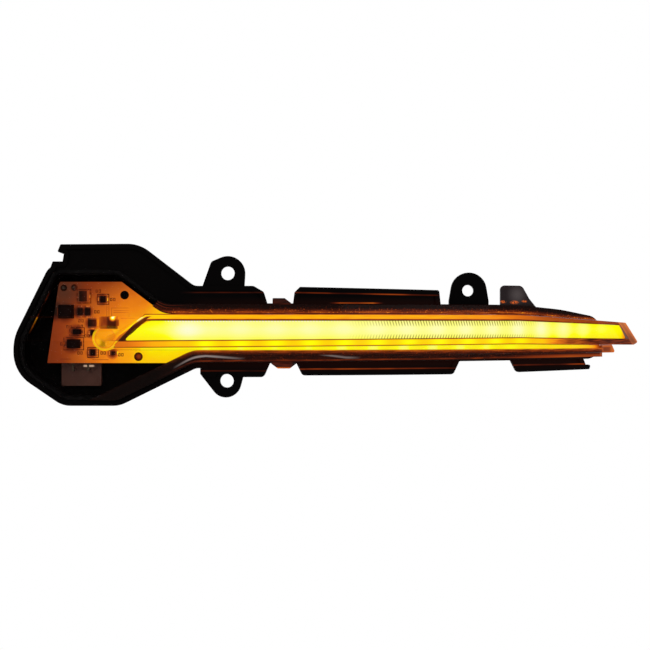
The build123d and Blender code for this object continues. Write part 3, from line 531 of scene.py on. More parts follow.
def lens_heights(tree, at):
    """Even height on the lens: its sloping walls are made level, so that one profile fits all along."""
    # Slot and wall above the guide, which fall and narrow past the taper's start
    past = add(tree, "Math ADD", at.across, -TAPER_START)
    taper = add(tree, "Math MAXIMUM", past, 0.0)
    slot_top = add(tree, "Math MULTIPLY_ADD", taper, -TAPER_FALL, SLOT_TOP)
    narrow = add(tree, "Math MULTIPLY_ADD", taper, -TAPER_NARROW, 1.0)
    over = add(tree, "Math SUBTRACT", at.height, slot_top)
    stretched = add(tree, "Math DIVIDE", over, narrow)
    strip = add(tree, "Math ADD", stretched, SLOT_TOP)
    # Upper rim, which climbs along the neck
    left = add(tree, "Math SUBTRACT", NECK_TOP, at.across)
    lift = add(tree, "Math SMOOTH_MAX", left, 0.0, NECK_ROUNDING)
    raised = add(tree, "Math MULTIPLY_ADD", lift, -NECK_TOP_SLOPE, strip)
    kept = add(tree, "Math GREATER_THAN", raised, ABOVE_BLADE)
    upper = add(tree, "Mix FLOAT", kept, SLOT_MIDDLE, raised)
    # Web between the guides, which rises a little and sinks again at the tip
    climb = add(tree, "MapRange", at.across, BLADE_START, TAPER_START, 0.0, BLADE_RISE)
    sink = add(tree, "MapRange", at.across, TAPER_START, TIP_RUN, 0.0, TIP_SINK)
    rise = add(tree, "Math SUBTRACT", climb, sink)
    risen = add(tree, "Math SUBTRACT", at.height, rise)
    floor = add(tree, "Math MINIMUM", at.height, WEB_FLOOR)
    web = add(tree, "Math MAXIMUM", risen, floor)
    # Lower rim, which falls along the neck and rises a little along the bar
    right = add(tree, "Math SUBTRACT", NECK_BOTTOM, at.across)
    fall = add(tree, "Math SMOOTH_MAX", right, 0.0, NECK_ROUNDING)
    lowered = add(tree, "Math MULTIPLY_ADD", fall, NECK_BOTTOM_SLOPE, at.height)
    bar_run = add(tree, "Math MINIMUM", right, 0.0)
    on_base = add(tree, "Math LESS_THAN", at.height, STEP_BOTTOM)
    base_run = add(tree, "Math MULTIPLY", bar_run, on_base)
    sloped = add(tree, "Math MULTIPLY_ADD", base_run, RIM_RISE, lowered)
    lower = add(tree, "Math MINIMUM", sloped, LOWER_RIM_TOP)
    is_high = add(tree, "Math GREATER_THAN", at.height, SLOT_MIDDLE)
    is_upper = add(tree, "Math GREATER_THAN", strip, ABOVE_BLADE)
    is_lower = add(tree, "Math LESS_THAN", at.height, LOWER_WALL)
    half = add(tree, "Mix FLOAT", is_high, web, strip)
    most = add(tree, "Mix FLOAT", is_upper, half, upper)
    return add(tree, "Mix FLOAT", is_lower, most, lower)


def lens_rims(tree, at, even_height, drift, dust):
    """Level of the light on the rims above and below the bar: maroon, with broken brown lines, dust
    that catches the light, and the snap legs."""
    lines = profile(
        tree, even_height, (-30, 0.03), (-29.3, 0.07), (-29.05, 0.25), (-28.8, 0.27), (-28.55, 0.12),
        (-27.2, 0.11), (-26.6, 0.15), (-26.3, 0.22), (-25.9, 0.3), (-25.6, 0.36), (-25.25, 0.52),
        (-25.12, 0), (-24.6, 0), (-24.5, 0.34), (-24.15, 0.34), (-22.45, 0.3), (-22.2, 0.28),
        (-22.05, 0), (-15.6, 0), (-15.5, 0.3), (-15.1, 0.3), (-13.55, 0.28), (-13.2, 0.26),
        (-12.85, 0.38), (-12.5, 0.28), (-12.1, 0.22), (-11.8, 0.14), (-11.3, 0.06), (-9.5, 0.03),
    )
    contrast = add(tree, "MapRange", drift, 0.32, 0.7, 0.68, 1.25)
    is_below = add(tree, "Math LESS_THAN", even_height, LOWER_RIM)
    neck_dark = add(tree, "MapRange", at.across, -24.0, -9.0, 0.92, 0.0)
    dark = add(tree, "Math MULTIPLY", is_below, neck_dark)
    kept_light = add(tree, "Math SUBTRACT", 1.0, dark)
    is_above = add(tree, "Math GREATER_THAN", even_height, ABOVE_BLADE)
    neck_shade = add(tree, "MapRange", at.across, -26.0, -15.0, 0.7, 0.0)
    shade = add(tree, "Math MULTIPLY", is_above, neck_shade)
    lit_share = add(tree, "Math SUBTRACT", kept_light, shade)
    lined = chain(tree, "MULTIPLY", lines, lit_share, contrast)
    speck = add(tree, "MapRange", dust, 0.6, 0.74, 0.0, 0.24)
    dusty = profile(
        tree, even_height, (-28.9, 0), (-28.6, 0.6), (-26.2, 0.5), (-25.6, 0), (-13.2, 0), (-12.9, 1),
        (-11.9, 1), (-10.5, 0.35), (-9, 0),
    )
    specks = chain(tree, "MULTIPLY", speck, dusty, lit_share)
    broken = add(tree, "Math ADD", lined, specks)
    far_band = patch(
        tree, even_height, ((-29.4, 0), (-29.15, 0.4), (-28.6, 0.36), (-28.0, 0.2), (-27.9, 0)),
        at.across, ((80, 0), (104, 0.8), (118, 1), (131, 0.9)),
    )
    neck_lines = patch(
        tree, even_height, ((-11.8, 0), (-11.5, 0.34), (-11.25, 0), (-10.9, 0), (-10.65, 0.3), (-10.4, 0)),
        at.across, ((-29, 0), (-25, 1), (-17, 0.7), (-9, 0)),
    )
    snaps = patch(
        tree, at.height, (
            (-31.6, 0.62), (-31.1, 0.5), (-30.8, 0.2), (-29.2, 0.17), (-28.9, 0), (-10.6, 0),
            (-10.2, 0.15), (-8, 0.13),
        ),
        at.across, ((13.5, 0), (15, 1), (21, 1), (22.5, 0)),
    )
    snap_level = add(tree, "Math MULTIPLY", snaps, contrast)
    return chain(tree, "MAXIMUM", broken, far_band, neck_lines, snap_level)


def lens_bar(tree, at, even_height, drift, grain, rims):
    """Level of the painted light and cover along the bar: its rims, the wall above the guide, painted
    orange with light, the web between the guides and the walls of the blade."""
    waves = glow_wave(tree, at)
    # Painted light: the wall above the guide glows orange, and the web below the guide glows yellow
    strip_share = profile(tree, even_height, (-15.3, 0), (-14.95, 1), (-13.8, 1), (-13.55, 0))
    strip = profile(
        tree, at.across, (-32, 0.76), (-22, 0.72), (-12, 0.68), (20, 0.665), (70, 0.64), (90, 0.59),
        (100, 0.5), (108, 0.42), (120, 0.37), (140, 0.34),
    )
    strip_level = add(tree, "Math MULTIPLY", strip, grain)
    with_strip = add(tree, "Mix FLOAT", strip_share, rims, strip_level)
    web_share = profile(tree, even_height, (-24.35, 0), (-24.1, 1), (-22.55, 1), (-22.3, 0))
    web = profile(
        tree, at.across, (-38, 0.5), (-32, 0.53), (-28, 0.58), (-24, 0.65), (-16, 0.7), (-8, 0.745),
        (95, 0.74), (104, 0.71), (111, 0.6), (116, 0.4), (121, 0.33), (124, 0.28), (143, 0.26),
    )
    web_depth = profile(tree, at.across, (-20, 0), (-8, 0.11), (95, 0.11), (105, 0.07), (112, 0))
    web_wave = add(tree, "Math MULTIPLY_ADD", waves, web_depth, web)
    web_far = add(tree, "MapRange", at.across, 106.0, 116.0)
    web_streak = add(tree, "MapRange", drift, 0.35, 0.65, -0.12, 0.1)
    web_level = add(tree, "Math MULTIPLY_ADD", web_far, web_streak, web_wave)
    with_web = add(tree, "Mix FLOAT", web_share, with_strip, web_level)
    # Walls of the blade, seen from above and below: light that grows towards the front
    wall_front = profile(tree, at.offset, (5.2, 0), (5.5, 1), (8.2, 1), (8.7, 0))
    wall_back = profile(tree, at.offset, (2.05, 0), (2.4, 1), (5.2, 1), (5.5, 0))
    is_top = add(tree, "Math GREATER_THAN", even_height, UPPER_WALL)
    wall_share = add(tree, "Math MULTIPLY_ADD", wall_back, is_top, wall_front)
    wall_base = profile(tree, at.offset, (2.05, 0.12), (4, 0.2), (6.5, 0.3), (8, 0.42), (8.7, 0.5))
    wall_wave = add(tree, "Math MULTIPLY_ADD", waves, 0.07, wall_base)
    wall_level = add(tree, "Math MULTIPLY", wall_wave, grain)
    with_wall = add(tree, "Mix FLOAT", wall_share, with_web, wall_level)
    cover = profile(
        tree, even_height, (-31.0, 0.95), (-27.2, 0.95), (-25.9, 0.94), (-25.4, 0.85), (-25.14, 0.02),
        (-24.58, 0.02), (-24.48, 0.9), (-24.1, 0.93), (-22.5, 0.93), (-22.2, 0.85), (-22.08, 0.02),
        (-15.72, 0.02), (-15.6, 0.9), (-13.4, 0.93), (-9.5, 0.95),
    )
    left_edge = add(tree, "Math MULTIPLY_ADD", at.height, BAR_LEFT_SLOPE, BAR_LEFT)
    beside = add(tree, "Math SUBTRACT", at.across, left_edge)
    barred = add(tree, "MapRange", beside, 0.0, 0.8)
    level = add(tree, "Math MULTIPLY", with_wall, barred)
    return level, add(tree, "Mix FLOAT", barred, 0.04, cover)


def lens_end_wall(tree, at, level, cover):
    """Level and cover with the blade's curved end wall: painted shade on it as a dark band, and a painted
    bright streak outside.
    """
    past = add(tree, "Math ADD", distance(tree, at, END_CENTER), -END_RADIUS)
    thin = add(tree, "MapRange", at.height, -20.5, -14.6, 0.85, 2.2)
    band = add(tree, "Math MULTIPLY", past, thin)
    # Painted light: dark over the end wall, as in shade, and bright just outside it
    streak = profile(
        tree, band, (-0.75, 0.22), (0.7, 0.22), (0.95, 0.55), (1.45, 0.64), (1.75, 0.86), (2.15, 0.84),
        (2.65, 0.7), (4.5, 0.55),
    )
    fade = profile(
        tree, at.height, (-22.4, 0.66), (-21.4, 0.7), (-19, 0.82), (-17, 0.98), (-15.8, 1.14), (-14.4, 1.1),
    )
    wall_level = add(tree, "Math MULTIPLY", streak, fade)
    wall_cover = profile(
        tree, band, (-0.85, 0), (-0.7, 0.96), (0.75, 0.96), (0.95, 0.7), (1.75, 0.85), (2.15, 0.8),
        (2.65, 0.4), (4.5, 0.0),
    )
    upright = profile(tree, at.height, (-22.4, 0), (-22.1, 1), (-14.6, 1), (-14.1, 0))
    is_left = add(tree, "Math LESS_THAN", at.across, END_RIGHT)
    is_past = add(tree, "Math GREATER_THAN", band, -0.78)
    share = chain(tree, "MULTIPLY", upright, is_left, is_past)
    walled = add(tree, "Mix FLOAT", share, level, wall_level)
    return walled, add(tree, "Mix FLOAT", share, cover, wall_cover)


def lens_head_edge(tree, at, dust, level, cover):
    """Level and cover with the red glints along the head's inner edge, on the left."""
    aside = add(tree, "Math MULTIPLY_ADD", at.height, -HEAD_EDGE_SLOPE, at.across)
    line = patch(
        tree, aside, ((-55.65, 0), (-55.45, 1), (-55.3, 1), (-55.05, 0)),
        at.height, ((-20, 0), (-17, 0.2), (-14, 0.34), (-11, 0.15), (-8, 0.36), (-6, 0.2), (-4.5, 0)),
    )
    torn = add(tree, "MapRange", dust, 0.35, 0.6, 0.3, 0.9)
    is_front = add(tree, "Math GREATER_THAN", at.offset, 1.5)
    glint = chain(tree, "MULTIPLY", line, torn, is_front)
    glinting = add(tree, "Math MAXIMUM", level, glint)
    return glinting, add(tree, "Math MULTIPLY_ADD", glint, 1.8, cover)


def lens_far_ends(tree, at, grain, level, cover):
    """Level and cover with the two blades' far ends, past the guides; also the shares of the main
    blade's tip and of the lower step's end."""
    outward = add(tree, "Math MULTIPLY_ADD", at.height, TIP_SLOPE, at.across)
    tip_share = profile(tree, outward, (123.8, 0), (124.3, 1), (129, 1))
    tip_edge = profile(
        tree, outward, (124.0, 0.52), (124.7, 0.42), (125.5, 0.38), (126.2, 0.46), (126.9, 0.5),
        (127.6, 0.47),
    )
    tip_shade = profile(tree, at.height, (-24, 0.8), (-22.8, 0.62), (-21.5, 0.7), (-19.5, 0.95), (-17, 1.05))
    tip_inner = profile(tree, outward, (124.2, 1), (126.4, 0.7), (126.9, 0))
    tip_dim = add(tree, "Mix FLOAT", tip_inner, 1.0, tip_shade)
    tip_depth = profile(tree, at.offset, (0, 0.4), (3, 0.5), (6, 0.75), (8.4, 1))
    tip_level = chain(tree, "MULTIPLY", tip_edge, tip_dim, tip_depth, grain)
    tipped = add(tree, "Mix FLOAT", tip_share, level, tip_level)
    step_share = patch(
        tree, at.across, ((130.2, 0), (130.8, 1), (140, 1)),
        at.height, ((-28.5, 1), (-24.35, 1), (-24.2, 0)),
    )
    step_run = profile(
        tree, at.across, (130.4, 0.44), (131.4, 0.28), (133.4, 0.3), (134.3, 0.42), (135.6, 0.5),
    )
    step_edge = profile(
        tree, at.height, (-27.2, 0.3), (-26.7, 0.42), (-26.2, 0.27), (-25.2, 0.27), (-24.6, 0.45),
        (-24.3, 0.44),
    )
    step_level = add(tree, "Math MAXIMUM", step_run, step_edge)
    ended = add(tree, "Mix FLOAT", step_share, tipped, step_level)
    far_share = add(tree, "Math MAXIMUM", tip_share, step_share)
    return ended, add(tree, "Mix FLOAT", far_share, cover, 0.94), tip_share, step_share


def lens_tints(tree, at, even_height, dust, level, tip_share, step_share):
    """Colour of the lens's light, with tints that the amber doesn't give: salmon ends, the grey tab
    with its glints, and white light on the neck's rim."""
    step_salmon = add(tree, "Math MULTIPLY", step_share, 0.12)
    salmon_share = add(tree, "Math MULTIPLY_ADD", tip_share, 0.4, step_salmon)
    salmon_level = add(tree, "Math MULTIPLY", level, 1.7)
    salmon = add(tree, "Mix RGBA", salmon_level, hex_color("#200804"), hex_color("#E8905E"))
    ends = add(tree, "Mix RGBA", salmon_share, amber(tree, level), salmon)
    tab_share = patch(
        tree, at.across, ((91, 0), (92, 1), (104, 1), (105.5, 0)),
        at.height, ((-10.6, 0), (-9.6, 0.8), (-8.5, 1)),
    )
    # Painted light on the tab: the grey of the white background seen through its smoke, paler at its middle
    painted_tab_middle = spot(tree, at, (98.2, -6.6), 4.4)
    painted_tab_grey = add(tree, "Mix RGBA", painted_tab_middle, hex_color("#1E1719"), hex_color("#463F3F"))
    tabbed = add(tree, "Mix RGBA", tab_share, ends, painted_tab_grey)
    # The glints are flat, so they are round marks on heights that are drawn out
    tall = at._replace(height=add(tree, "Math MULTIPLY", at.height, 2.5))
    marks = (((93.0, -22.8), 1.6), ((97.3, -23.2), 2.1), ((100.9, -22.2), 1.4))
    glints = chain(tree, "MAXIMUM", *[spot(tree, tall, center, radius) for center, radius in marks])
    rough_glint = add(tree, "MapRange", dust, 0.42, 0.56)
    torn = add(tree, "Math MULTIPLY", glints, rough_glint)
    glinting = add(tree, "Mix RGBA", torn, tabbed, hex_color("#F87020"))
    sheen_sag = profile(
        tree, at.across, (-18, 0.15), (-7, 0.85), (4, 0.1), (30, 1.0), (34, 0.7), (39, 0.1), (44, 0),
    )
    sheen_place = add(tree, "Math MULTIPLY_ADD", sheen_sag, -1.2, even_height)
    sheen_share = patch(
        tree, sheen_place, ((-28.75, 0), (-28.4, 1), (-28.15, 0.8), (-27.75, 0)),
        at.across, (
            (-18, 0), (-14, 0.55), (-10, 0.9), (-4, 0.8), (2, 0.4), (6, 0), (30, 0), (34, 0.5),
            (40, 0.45), (44, 0),
        ),
    )
    return add(tree, "Mix RGBA", sheen_share, glinting, hex_color("#9A8C88"))


def smoked_acrylic(color, glow):
    """Smoke-tinted acrylic, moulded and polished: nearly clear over the light, dark at its rim, and
    with walls that carry the amber light as bright and dark lines."""
    material, tree, shader = start_material(
        "smoked_acrylic", Base_Color=color, Roughness=0.06, Specular_IOR_Level=0.03, Emission_Strength=glow
    )
    at = lamp_places(tree)
    even_height = lens_heights(tree, at)
    drift = streaks(tree, at, 5.0, 0.35)
    grain = add(tree, "MapRange", drift, 0.3, 0.7, 0.95, 1.05)
    # Dust and fine scratches, which catch the light; drawn coarser than they are, so that they show
    dust = add(tree, "TexNoise", Vector=object_place(tree), Scale=per_mm(0.45), Detail=1.0)
    rims = lens_rims(tree, at, even_height, drift, dust)
    level, cover = lens_bar(tree, at, even_height, drift, grain, rims)
    level, cover = lens_end_wall(tree, at, level, cover)
    level, cover = lens_head_edge(tree, at, dust, level, cover)
    level, cover, tip_share, step_share = lens_far_ends(tree, at, grain, level, cover)
    tint = lens_tints(tree, at, even_height, dust, level, tip_share, step_share)
    feed(tree, shader, Emission_Color=tint, Alpha=cover)
    return material


def board_light(tree, at):
    """Level of the guide's light on the board, which falls off from where it enters."""
    aside = add(tree, "Math ADD", at.across, -BOARD_LIGHT[0])
    leftwards = add(tree, "Math MINIMUM", aside, 0.0)
    above = add(tree, "Math ADD", at.height, -BOARD_LIGHT[1])
    up = add(tree, "Math MAXIMUM", above, 0.0)
    down = add(tree, "Math MINIMUM", above, 0.0)
    low = add(tree, "Math MULTIPLY", down, FALL_DOWNWARDS)
    upright = add(tree, "Math MULTIPLY_ADD", up, FALL_UPWARDS, low)
    spoke = add(tree, "CombineXYZ", leftwards, upright)
    far = add(tree, "VectorMath LENGTH", spoke)
    level = profile(
        tree, far, (0, 0.86), (4, 0.72), (8, 0.635), (13, 0.585), (18, 0.54), (22, 0.49), (28, 0.36),
        (33, 0.31), (45, 0.22),
    )
    corner = spot(tree, at, (-21.5, -13.5), 8.0)
    return add(tree, "Math MULTIPLY_ADD", corner, 0.12, level)


def board_shadow(tree, at):
    """Contact shadows on the board: each part keeps the guide's light from the board on its left."""
    # The first shade is that of the tray's wall, at the board's left corner
    shades = [spot(tree, at, (-57.6, -12.3), 4.5)]
    for node in RESISTORS + CERAMICS + MOULDED:
        low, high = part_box(node)
        middle = [(low[axis] + high[axis]) / 2 / MM for axis in (0, 2)]
        center = [place + shift for place, shift in zip(middle, SHADOW_SHIFT)]
        reach = max(high[axis] - low[axis] for axis in (0, 2)) / MM
        shades.append(spot(tree, at, center, reach / 2 + SHADOW_MARGIN))
    return chain(tree, "MAXIMUM", *shades)


def lit_solder_mask(glow):
    """White solder mask on glass laminate, under amber light that falls off away from the guide. Its
    own colour is nearly black, because the light on it is painted."""
    material, tree, shader = start_material(
        "lit_solder_mask", Base_Color=hex_color("#0E0703"), Roughness=0.4, Specular_IOR_Level=0.05,
        Emission_Strength=glow,
    )
    at = lamp_places(tree)
    open_light = add(tree, "MapRange", board_shadow(tree, at), To_Min=1.0, To_Max=0.25)
    cloud = add(tree, "TexNoise", Vector=object_place(tree), Scale=per_mm(3.5), Detail=4.0)
    mottle = add(tree, "MapRange", cloud, To_Min=0.95, To_Max=1.05)
    is_front = add(tree, "Math GREATER_THAN", at.offset, -BOARD_FRONT - 0.2)
    shown = chain(tree, "MULTIPLY", board_light(tree, at), open_light, mottle, is_front)
    # Painted shade: a grey-brown patch over the board's upper left corner
    dull = chain(tree, "MULTIPLY", spot(tree, at, (-54.5, -6.2), 9.0), 0.75, is_front)
    color = add(tree, "Mix RGBA", dull, amber(tree, shown), hex_color("#3C281C"))
    feed(tree, shader, Emission_Color=color)
    return material


def end_mask(tree, node, length):
    """1 on a board part's two ends, over a length in millimetres, and 0 on its body."""
    low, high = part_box(node)
    size = Vector(high) - Vector(low)
    axis = 0 if size.x >= size.z else 2
    middle = (high[axis] + low[axis]) / 2
    place = add(tree, "SeparateXYZ", object_place(tree), out=axis)
    away = add(tree, "Math SUBTRACT", place, middle)
    far = add(tree, "Math ABSOLUTE", away)
    return add(tree, "Math GREATER_THAN", far, size[axis] / 2 - length * MM)


def chip_part(name, node, body, end, length, side_light_level, glow):
    """Board part with a dull body between two tinned ends; the guide's amber light on its side towards the
    guide and on its ends is painted.
    """
    material, tree, shader = start_material(
        f"{name}_{node}", Specular_IOR_Level=0.02, Emission_Strength=glow
    )
    tint, cloud = clouds(tree, 0.6, darker(body, 0.6), darker(body, 1.6))
    ends = end_mask(tree, node, length)
    low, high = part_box(node)
    across = lamp_places(tree).across
    # Painted light: the guide's amber, strongest on the side towards it, and glints on the tinned ends
    side = add(tree, "MapRange", across, low[0] / MM, high[0] / MM, 0.2, 1.0)
    painted_side_light = add(tree, "Math MULTIPLY", side, side_light_level)
    bright = add(tree, "Math MULTIPLY_ADD", ends, 0.16, painted_side_light)
    feed(
        tree, shader,
        Base_Color=add(tree, "Mix RGBA", ends, tint, end),
        Metallic=add(tree, "Math MULTIPLY", ends, 0.6),
        Roughness=add(tree, "MapRange", cloud, To_Min=0.45, To_Max=0.65),
        Emission_Color=amber(tree, bright),
    )
    return material


def dipped_tantalum(glow):
    """Resin-dipped capacitor: brown, see-through at its left, where its painted amber light is brighter, and
    with a painted hot glint at its upper right.
    """
    material, tree, shader = start_material(
        "dipped_tantalum", Base_Color=hex_color("#0C0502"), Roughness=0.3, Specular_IOR_Level=0.03,
        Emission_Strength=glow,
    )
    at = lamp_places(tree)
    # Painted light: brighter at the left, dimmer to the right
    body = profile(
        tree, at.across, (-43.6, 0.6), (-43.0, 0.5), (-42.4, 0.45), (-42.1, 0.37), (-40.4, 0.34),
        (-39.8, 0.22), (-37.3, 0.19), (-36.9, 0.36), (-36.4, 0.46),
    )
    cloud = add(tree, "TexNoise", Vector=object_place(tree), Scale=per_mm(1.2), Detail=2.0)
    mottle = add(tree, "MapRange", cloud, To_Min=0.8, To_Max=1.15)
    level = add(tree, "Math MULTIPLY", body, mottle)
    glint = spot(tree, at, (-38.2, -14.6), 1.7)
    bright = add(tree, "Math MULTIPLY_ADD", glint, 0.85, level)
    feed(tree, shader, Emission_Color=amber(tree, bright))
    return material


def reflowed_tin(glow):
    """Tin solder, reflowed: bright but rippled metal, gold where the amber light meets it."""
    material, tree, shader = start_material(
        "reflowed_tin", Base_Color=hex_color("#221C12"), Metallic=0.7, Emission_Strength=glow
    )
    cloud = add(tree, "TexNoise", Vector=object_place(tree), Scale=per_mm(0.7), Detail=2.0)
    rough = add(tree, "MapRange", cloud, To_Min=0.3, To_Max=0.5)
    relief = add(tree, "Bump", Strength=0.3, Distance=0.05 * MM, Height=cloud)
    across = lamp_places(tree).across
    level = profile(tree, across, (-58, 0.05), (-51.5, 0.1), (-49, 0.42), (-40, 0.66), (-34, 0.74))
    broken = add(tree, "MapRange", cloud, 0.3, 0.7, 0.7, 1.15)
    shown = add(tree, "Math MULTIPLY", level, broken)
    feed(tree, shader, Roughness=rough, Normal=relief, Emission_Color=amber(tree, shown))
    return material


def moulded_nylon(front, back, glow):
    """Natural nylon, injection moulded: pale at the mouth behind the lamp, and painted mauve-brown at the
    front, as it looks through the smoked lens in amber light, with one painted pale highlight."""
    material, tree, shader = start_material("moulded_nylon", Specular_IOR_Level=0.15, Emission_Strength=glow)
    at = lamp_places(tree)
    pale, cloud = clouds(tree, 4, darker(back, 0.85), back)
    # Painted light: the front's mauve-brown is how amber light through the smoked lens makes it look
    painted_lamplit_front = add(tree, "Mix RGBA", cloud, darker(front, 0.7), darker(front, 1.2))
    behind = add(tree, "MapRange", at.offset, -12.0, -10.5, 1.0, 0.0)
    # Painted highlight: a pale dash on the socket's front
    painted_highlight_dash = patch(
        tree, at.across, ((-49.0, 0), (-48.4, 1), (-45.6, 1), (-45.0, 0)),
        at.height, ((-31.2, 0), (-30.9, 1), (-30.6, 1), (-30.3, 0)),
    )
    feed(
        tree, shader,
        Base_Color=add(tree, "Mix RGBA", behind, painted_lamplit_front, pale),
        Roughness=add(tree, "MapRange", cloud, To_Min=0.4, To_Max=0.55),
        Emission_Color=add(tree, "Mix RGBA", painted_highlight_dash, hex_color("#000000"), hex_color("#C0A088")),
    )
    return material


def tinned_brass():
    """Brass wire, tinned: dull and a little clouded, grey-brown in the lamp's shade."""
    material, tree, shader = start_material("tinned_brass", Metallic=0.8)
    tint, cloud = clouds(tree, 0.5, hex_color("#1E140E"), hex_color("#4A3A2A"))
    rough = add(tree, "MapRange", cloud, To_Min=0.4, To_Max=0.6)
    feed(tree, shader, Base_Color=tint, Roughness=rough)
    return material


def led_package(glow):
    """Light diode's package, moulded white and lit amber from its cup."""
    material, tree, shader = start_material("led_package", Roughness=0.4, Emission_Strength=glow)
    tint, cloud = clouds(tree, 1, hex_color("#C8BFA8"), hex_color("#E6DEC8"))
    level = add(tree, "MapRange", cloud, To_Min=0.6, To_Max=0.75)
    feed(tree, shader, Base_Color=tint, Emission_Color=amber(tree, level))
    return material


def amber_silicone(glow):
    """Silicone in a light diode's cup: the source of the light, blown out to a pale yellow."""
    material, tree, shader = start_material("amber_silicone", Roughness=0.2, Emission_Strength=glow)
    tint, cloud = clouds(tree, 0.5, hex_color("#C87810"), hex_color("#E8A020"))
    level = add(tree, "MapRange", cloud, To_Min=0.9, To_Max=1.0)
    feed(tree, shader, Base_Color=tint, Emission_Color=amber(tree, level))
    return material


def printed_ink(color, glow):
    """Screen-printed ink on the solder mask: dark brown, a little thin and uneven, with painted amber light
    on it.
    """
    material, tree, shader = start_material(
        "printed_ink", Roughness=0.6, Specular_IOR_Level=0.03, Emission_Strength=glow
    )
    tint, cloud = clouds(tree, 0.8, darker(color, 0.6), color)
    # Painted light: the amber on the ink, as uneven as the ink
    level = add(tree, "MapRange", cloud, 0.35, 0.7, 0.1, 0.34)
    feed(tree, shader, Base_Color=tint, Emission_Color=amber(tree, level))
    return material


def masked_copper(glow):
    """Copper conductor under the solder mask: a faint raised line, darker than the board around it, with
    painted amber light that grows towards the guide.
    """
    material, tree, shader = start_material(
        "masked_copper", Base_Color=hex_color("#0E0703"), Roughness=0.45, Specular_IOR_Level=0.05,
        Emission_Strength=glow,
    )
    across = lamp_places(tree).across
    cloud = add(tree, "TexNoise", Vector=object_place(tree), Scale=per_mm(2), Detail=2.0)
    # Painted light: the amber on the line, brighter towards the guide
    level = profile(tree, across, (-57, 0.25), (-48, 0.36), (-41, 0.42), (-36, 0.48), (-30, 0.6))
    mottle = add(tree, "MapRange", cloud, To_Min=0.9, To_Max=1.1)
    shown = add(tree, "Math MULTIPLY", level, mottle)
    feed(tree, shader, Emission_Color=amber(tree, shown))
    return material


def matt_white_paper():
    """Paper backdrop, uncoated: near white and matt, with faint fibres."""
    material, tree, shader = start_material("matt_white_paper", Roughness=0.9, Specular_IOR_Level=0.1)
    feed(tree, shader, Base_Color=clouds(tree, 30, hex_color("#F2F1EF"), hex_color("#F6F6F5"))[0])
    return material


def paint(node, material):
    """Give a CAD node one material in place of its plain one."""
    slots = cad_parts[node].data.materials
    slots.clear()
    slots.append(material)


def finish_piece(piece, name, material):
    """Name a new piece, finish it and let it ride with the lamp."""
    piece.name = name
    piece.data.name = name
    piece.data.materials.clear()
    piece.data.materials.append(material)
    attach(piece, "root")


def start_editing():
    """Enter edit mode with all of the active piece selected."""
    bpy.ops.object.mode_set(mode="EDIT")
    bpy.ops.mesh.select_all(action="SELECT")


def end_editing():
    """Turn the active piece's faces outwards and leave edit mode."""
    bpy.ops.mesh.select_all(action="SELECT")
    bpy.ops.mesh.normals_make_consistent(inside=False)
    bpy.ops.object.mode_set(mode="OBJECT")


def front_plate(low, high, depth, thickness, line=0.0):
    """Thin plate that faces the front, from two corners in the front view; with a line, a frame."""
    bpy.ops.object.select_all(action="DESELECT")
    bpy.ops.mesh.primitive_plane_add(size=1, rotation=(QUARTER_TURN, 0, 0))
    piece = bpy.context.object
    piece.scale = (high[0] - low[0], high[1] - low[1], 1)
    piece.location = ((low[0] + high[0]) / 2, depth - thickness, (low[1] + high[1]) / 2)
    bpy.ops.object.transform_apply()
    start_editing()
    if line:
        bpy.ops.mesh.inset(thickness=line)
        bpy.ops.mesh.delete(type="FACE")
        bpy.ops.mesh.select_all(action="SELECT")
    bpy.ops.mesh.extrude_region_move(TRANSFORM_OT_translate={"value": (0, thickness, 0)})
    end_editing()
    return piece


def join(pieces):
    """Join pieces into the first of them."""
    bpy.ops.object.select_all(action="DESELECT")
    for piece in pieces:
        piece.select_set(True)
    bpy.context.view_layer.objects.active = pieces[0]
    bpy.ops.object.join()
    return pieces[0]


def copies(piece, places):
    """Copies of a piece, each with its own mesh moved to its place, in the piece's stead."""
    made = []
    for place in places:
        twin = piece.copy()
        twin.data = piece.data.copy()
        twin.data.transform(place)
        bpy.context.collection.objects.link(twin)
        made.append(twin)
    bpy.data.objects.remove(piece)
    return made


class LampFinish(bpy.types.PropertyGroup):
    """Colours of the lamp and strength of its light."""

    tray: bpy.props.FloatVectorProperty(
        name="Tray", description="Colour of the moulded tray", subtype="COLOR", size=4, min=0, max=1,
        default=hex_color("#030202"),
    )
    smoke: bpy.props.FloatVectorProperty(
        name="Smoke", description="Colour of the lens's tint", subtype="COLOR", size=4, min=0, max=1,
        default=hex_color("#080403"),
    )
    # Painted: the socket's front colour is its look through the smoked lens in amber light
    socket_front: bpy.props.FloatVectorProperty(
        name="Socket, front", description="Colour of the plug socket behind the lens", subtype="COLOR",
        size=4, min=0, max=1, default=hex_color("#48291F"),
    )
    socket_back: bpy.props.FloatVectorProperty(
        name="Socket, back", description="Colour of the plug socket's mouth", subtype="COLOR", size=4,
        min=0, max=1, default=hex_color("#CFC6B4"),
    )
    ink: bpy.props.FloatVectorProperty(
        name="Ink", description="Colour of the board's printed outlines", subtype="COLOR", size=4, min=0,
        max=1, default=hex_color("#2A1208"),
    )
    glow: bpy.props.FloatProperty(
        name="Glow", description="Strength of the amber light; 0 is a lamp that is off", default=1.0, min=0
    )


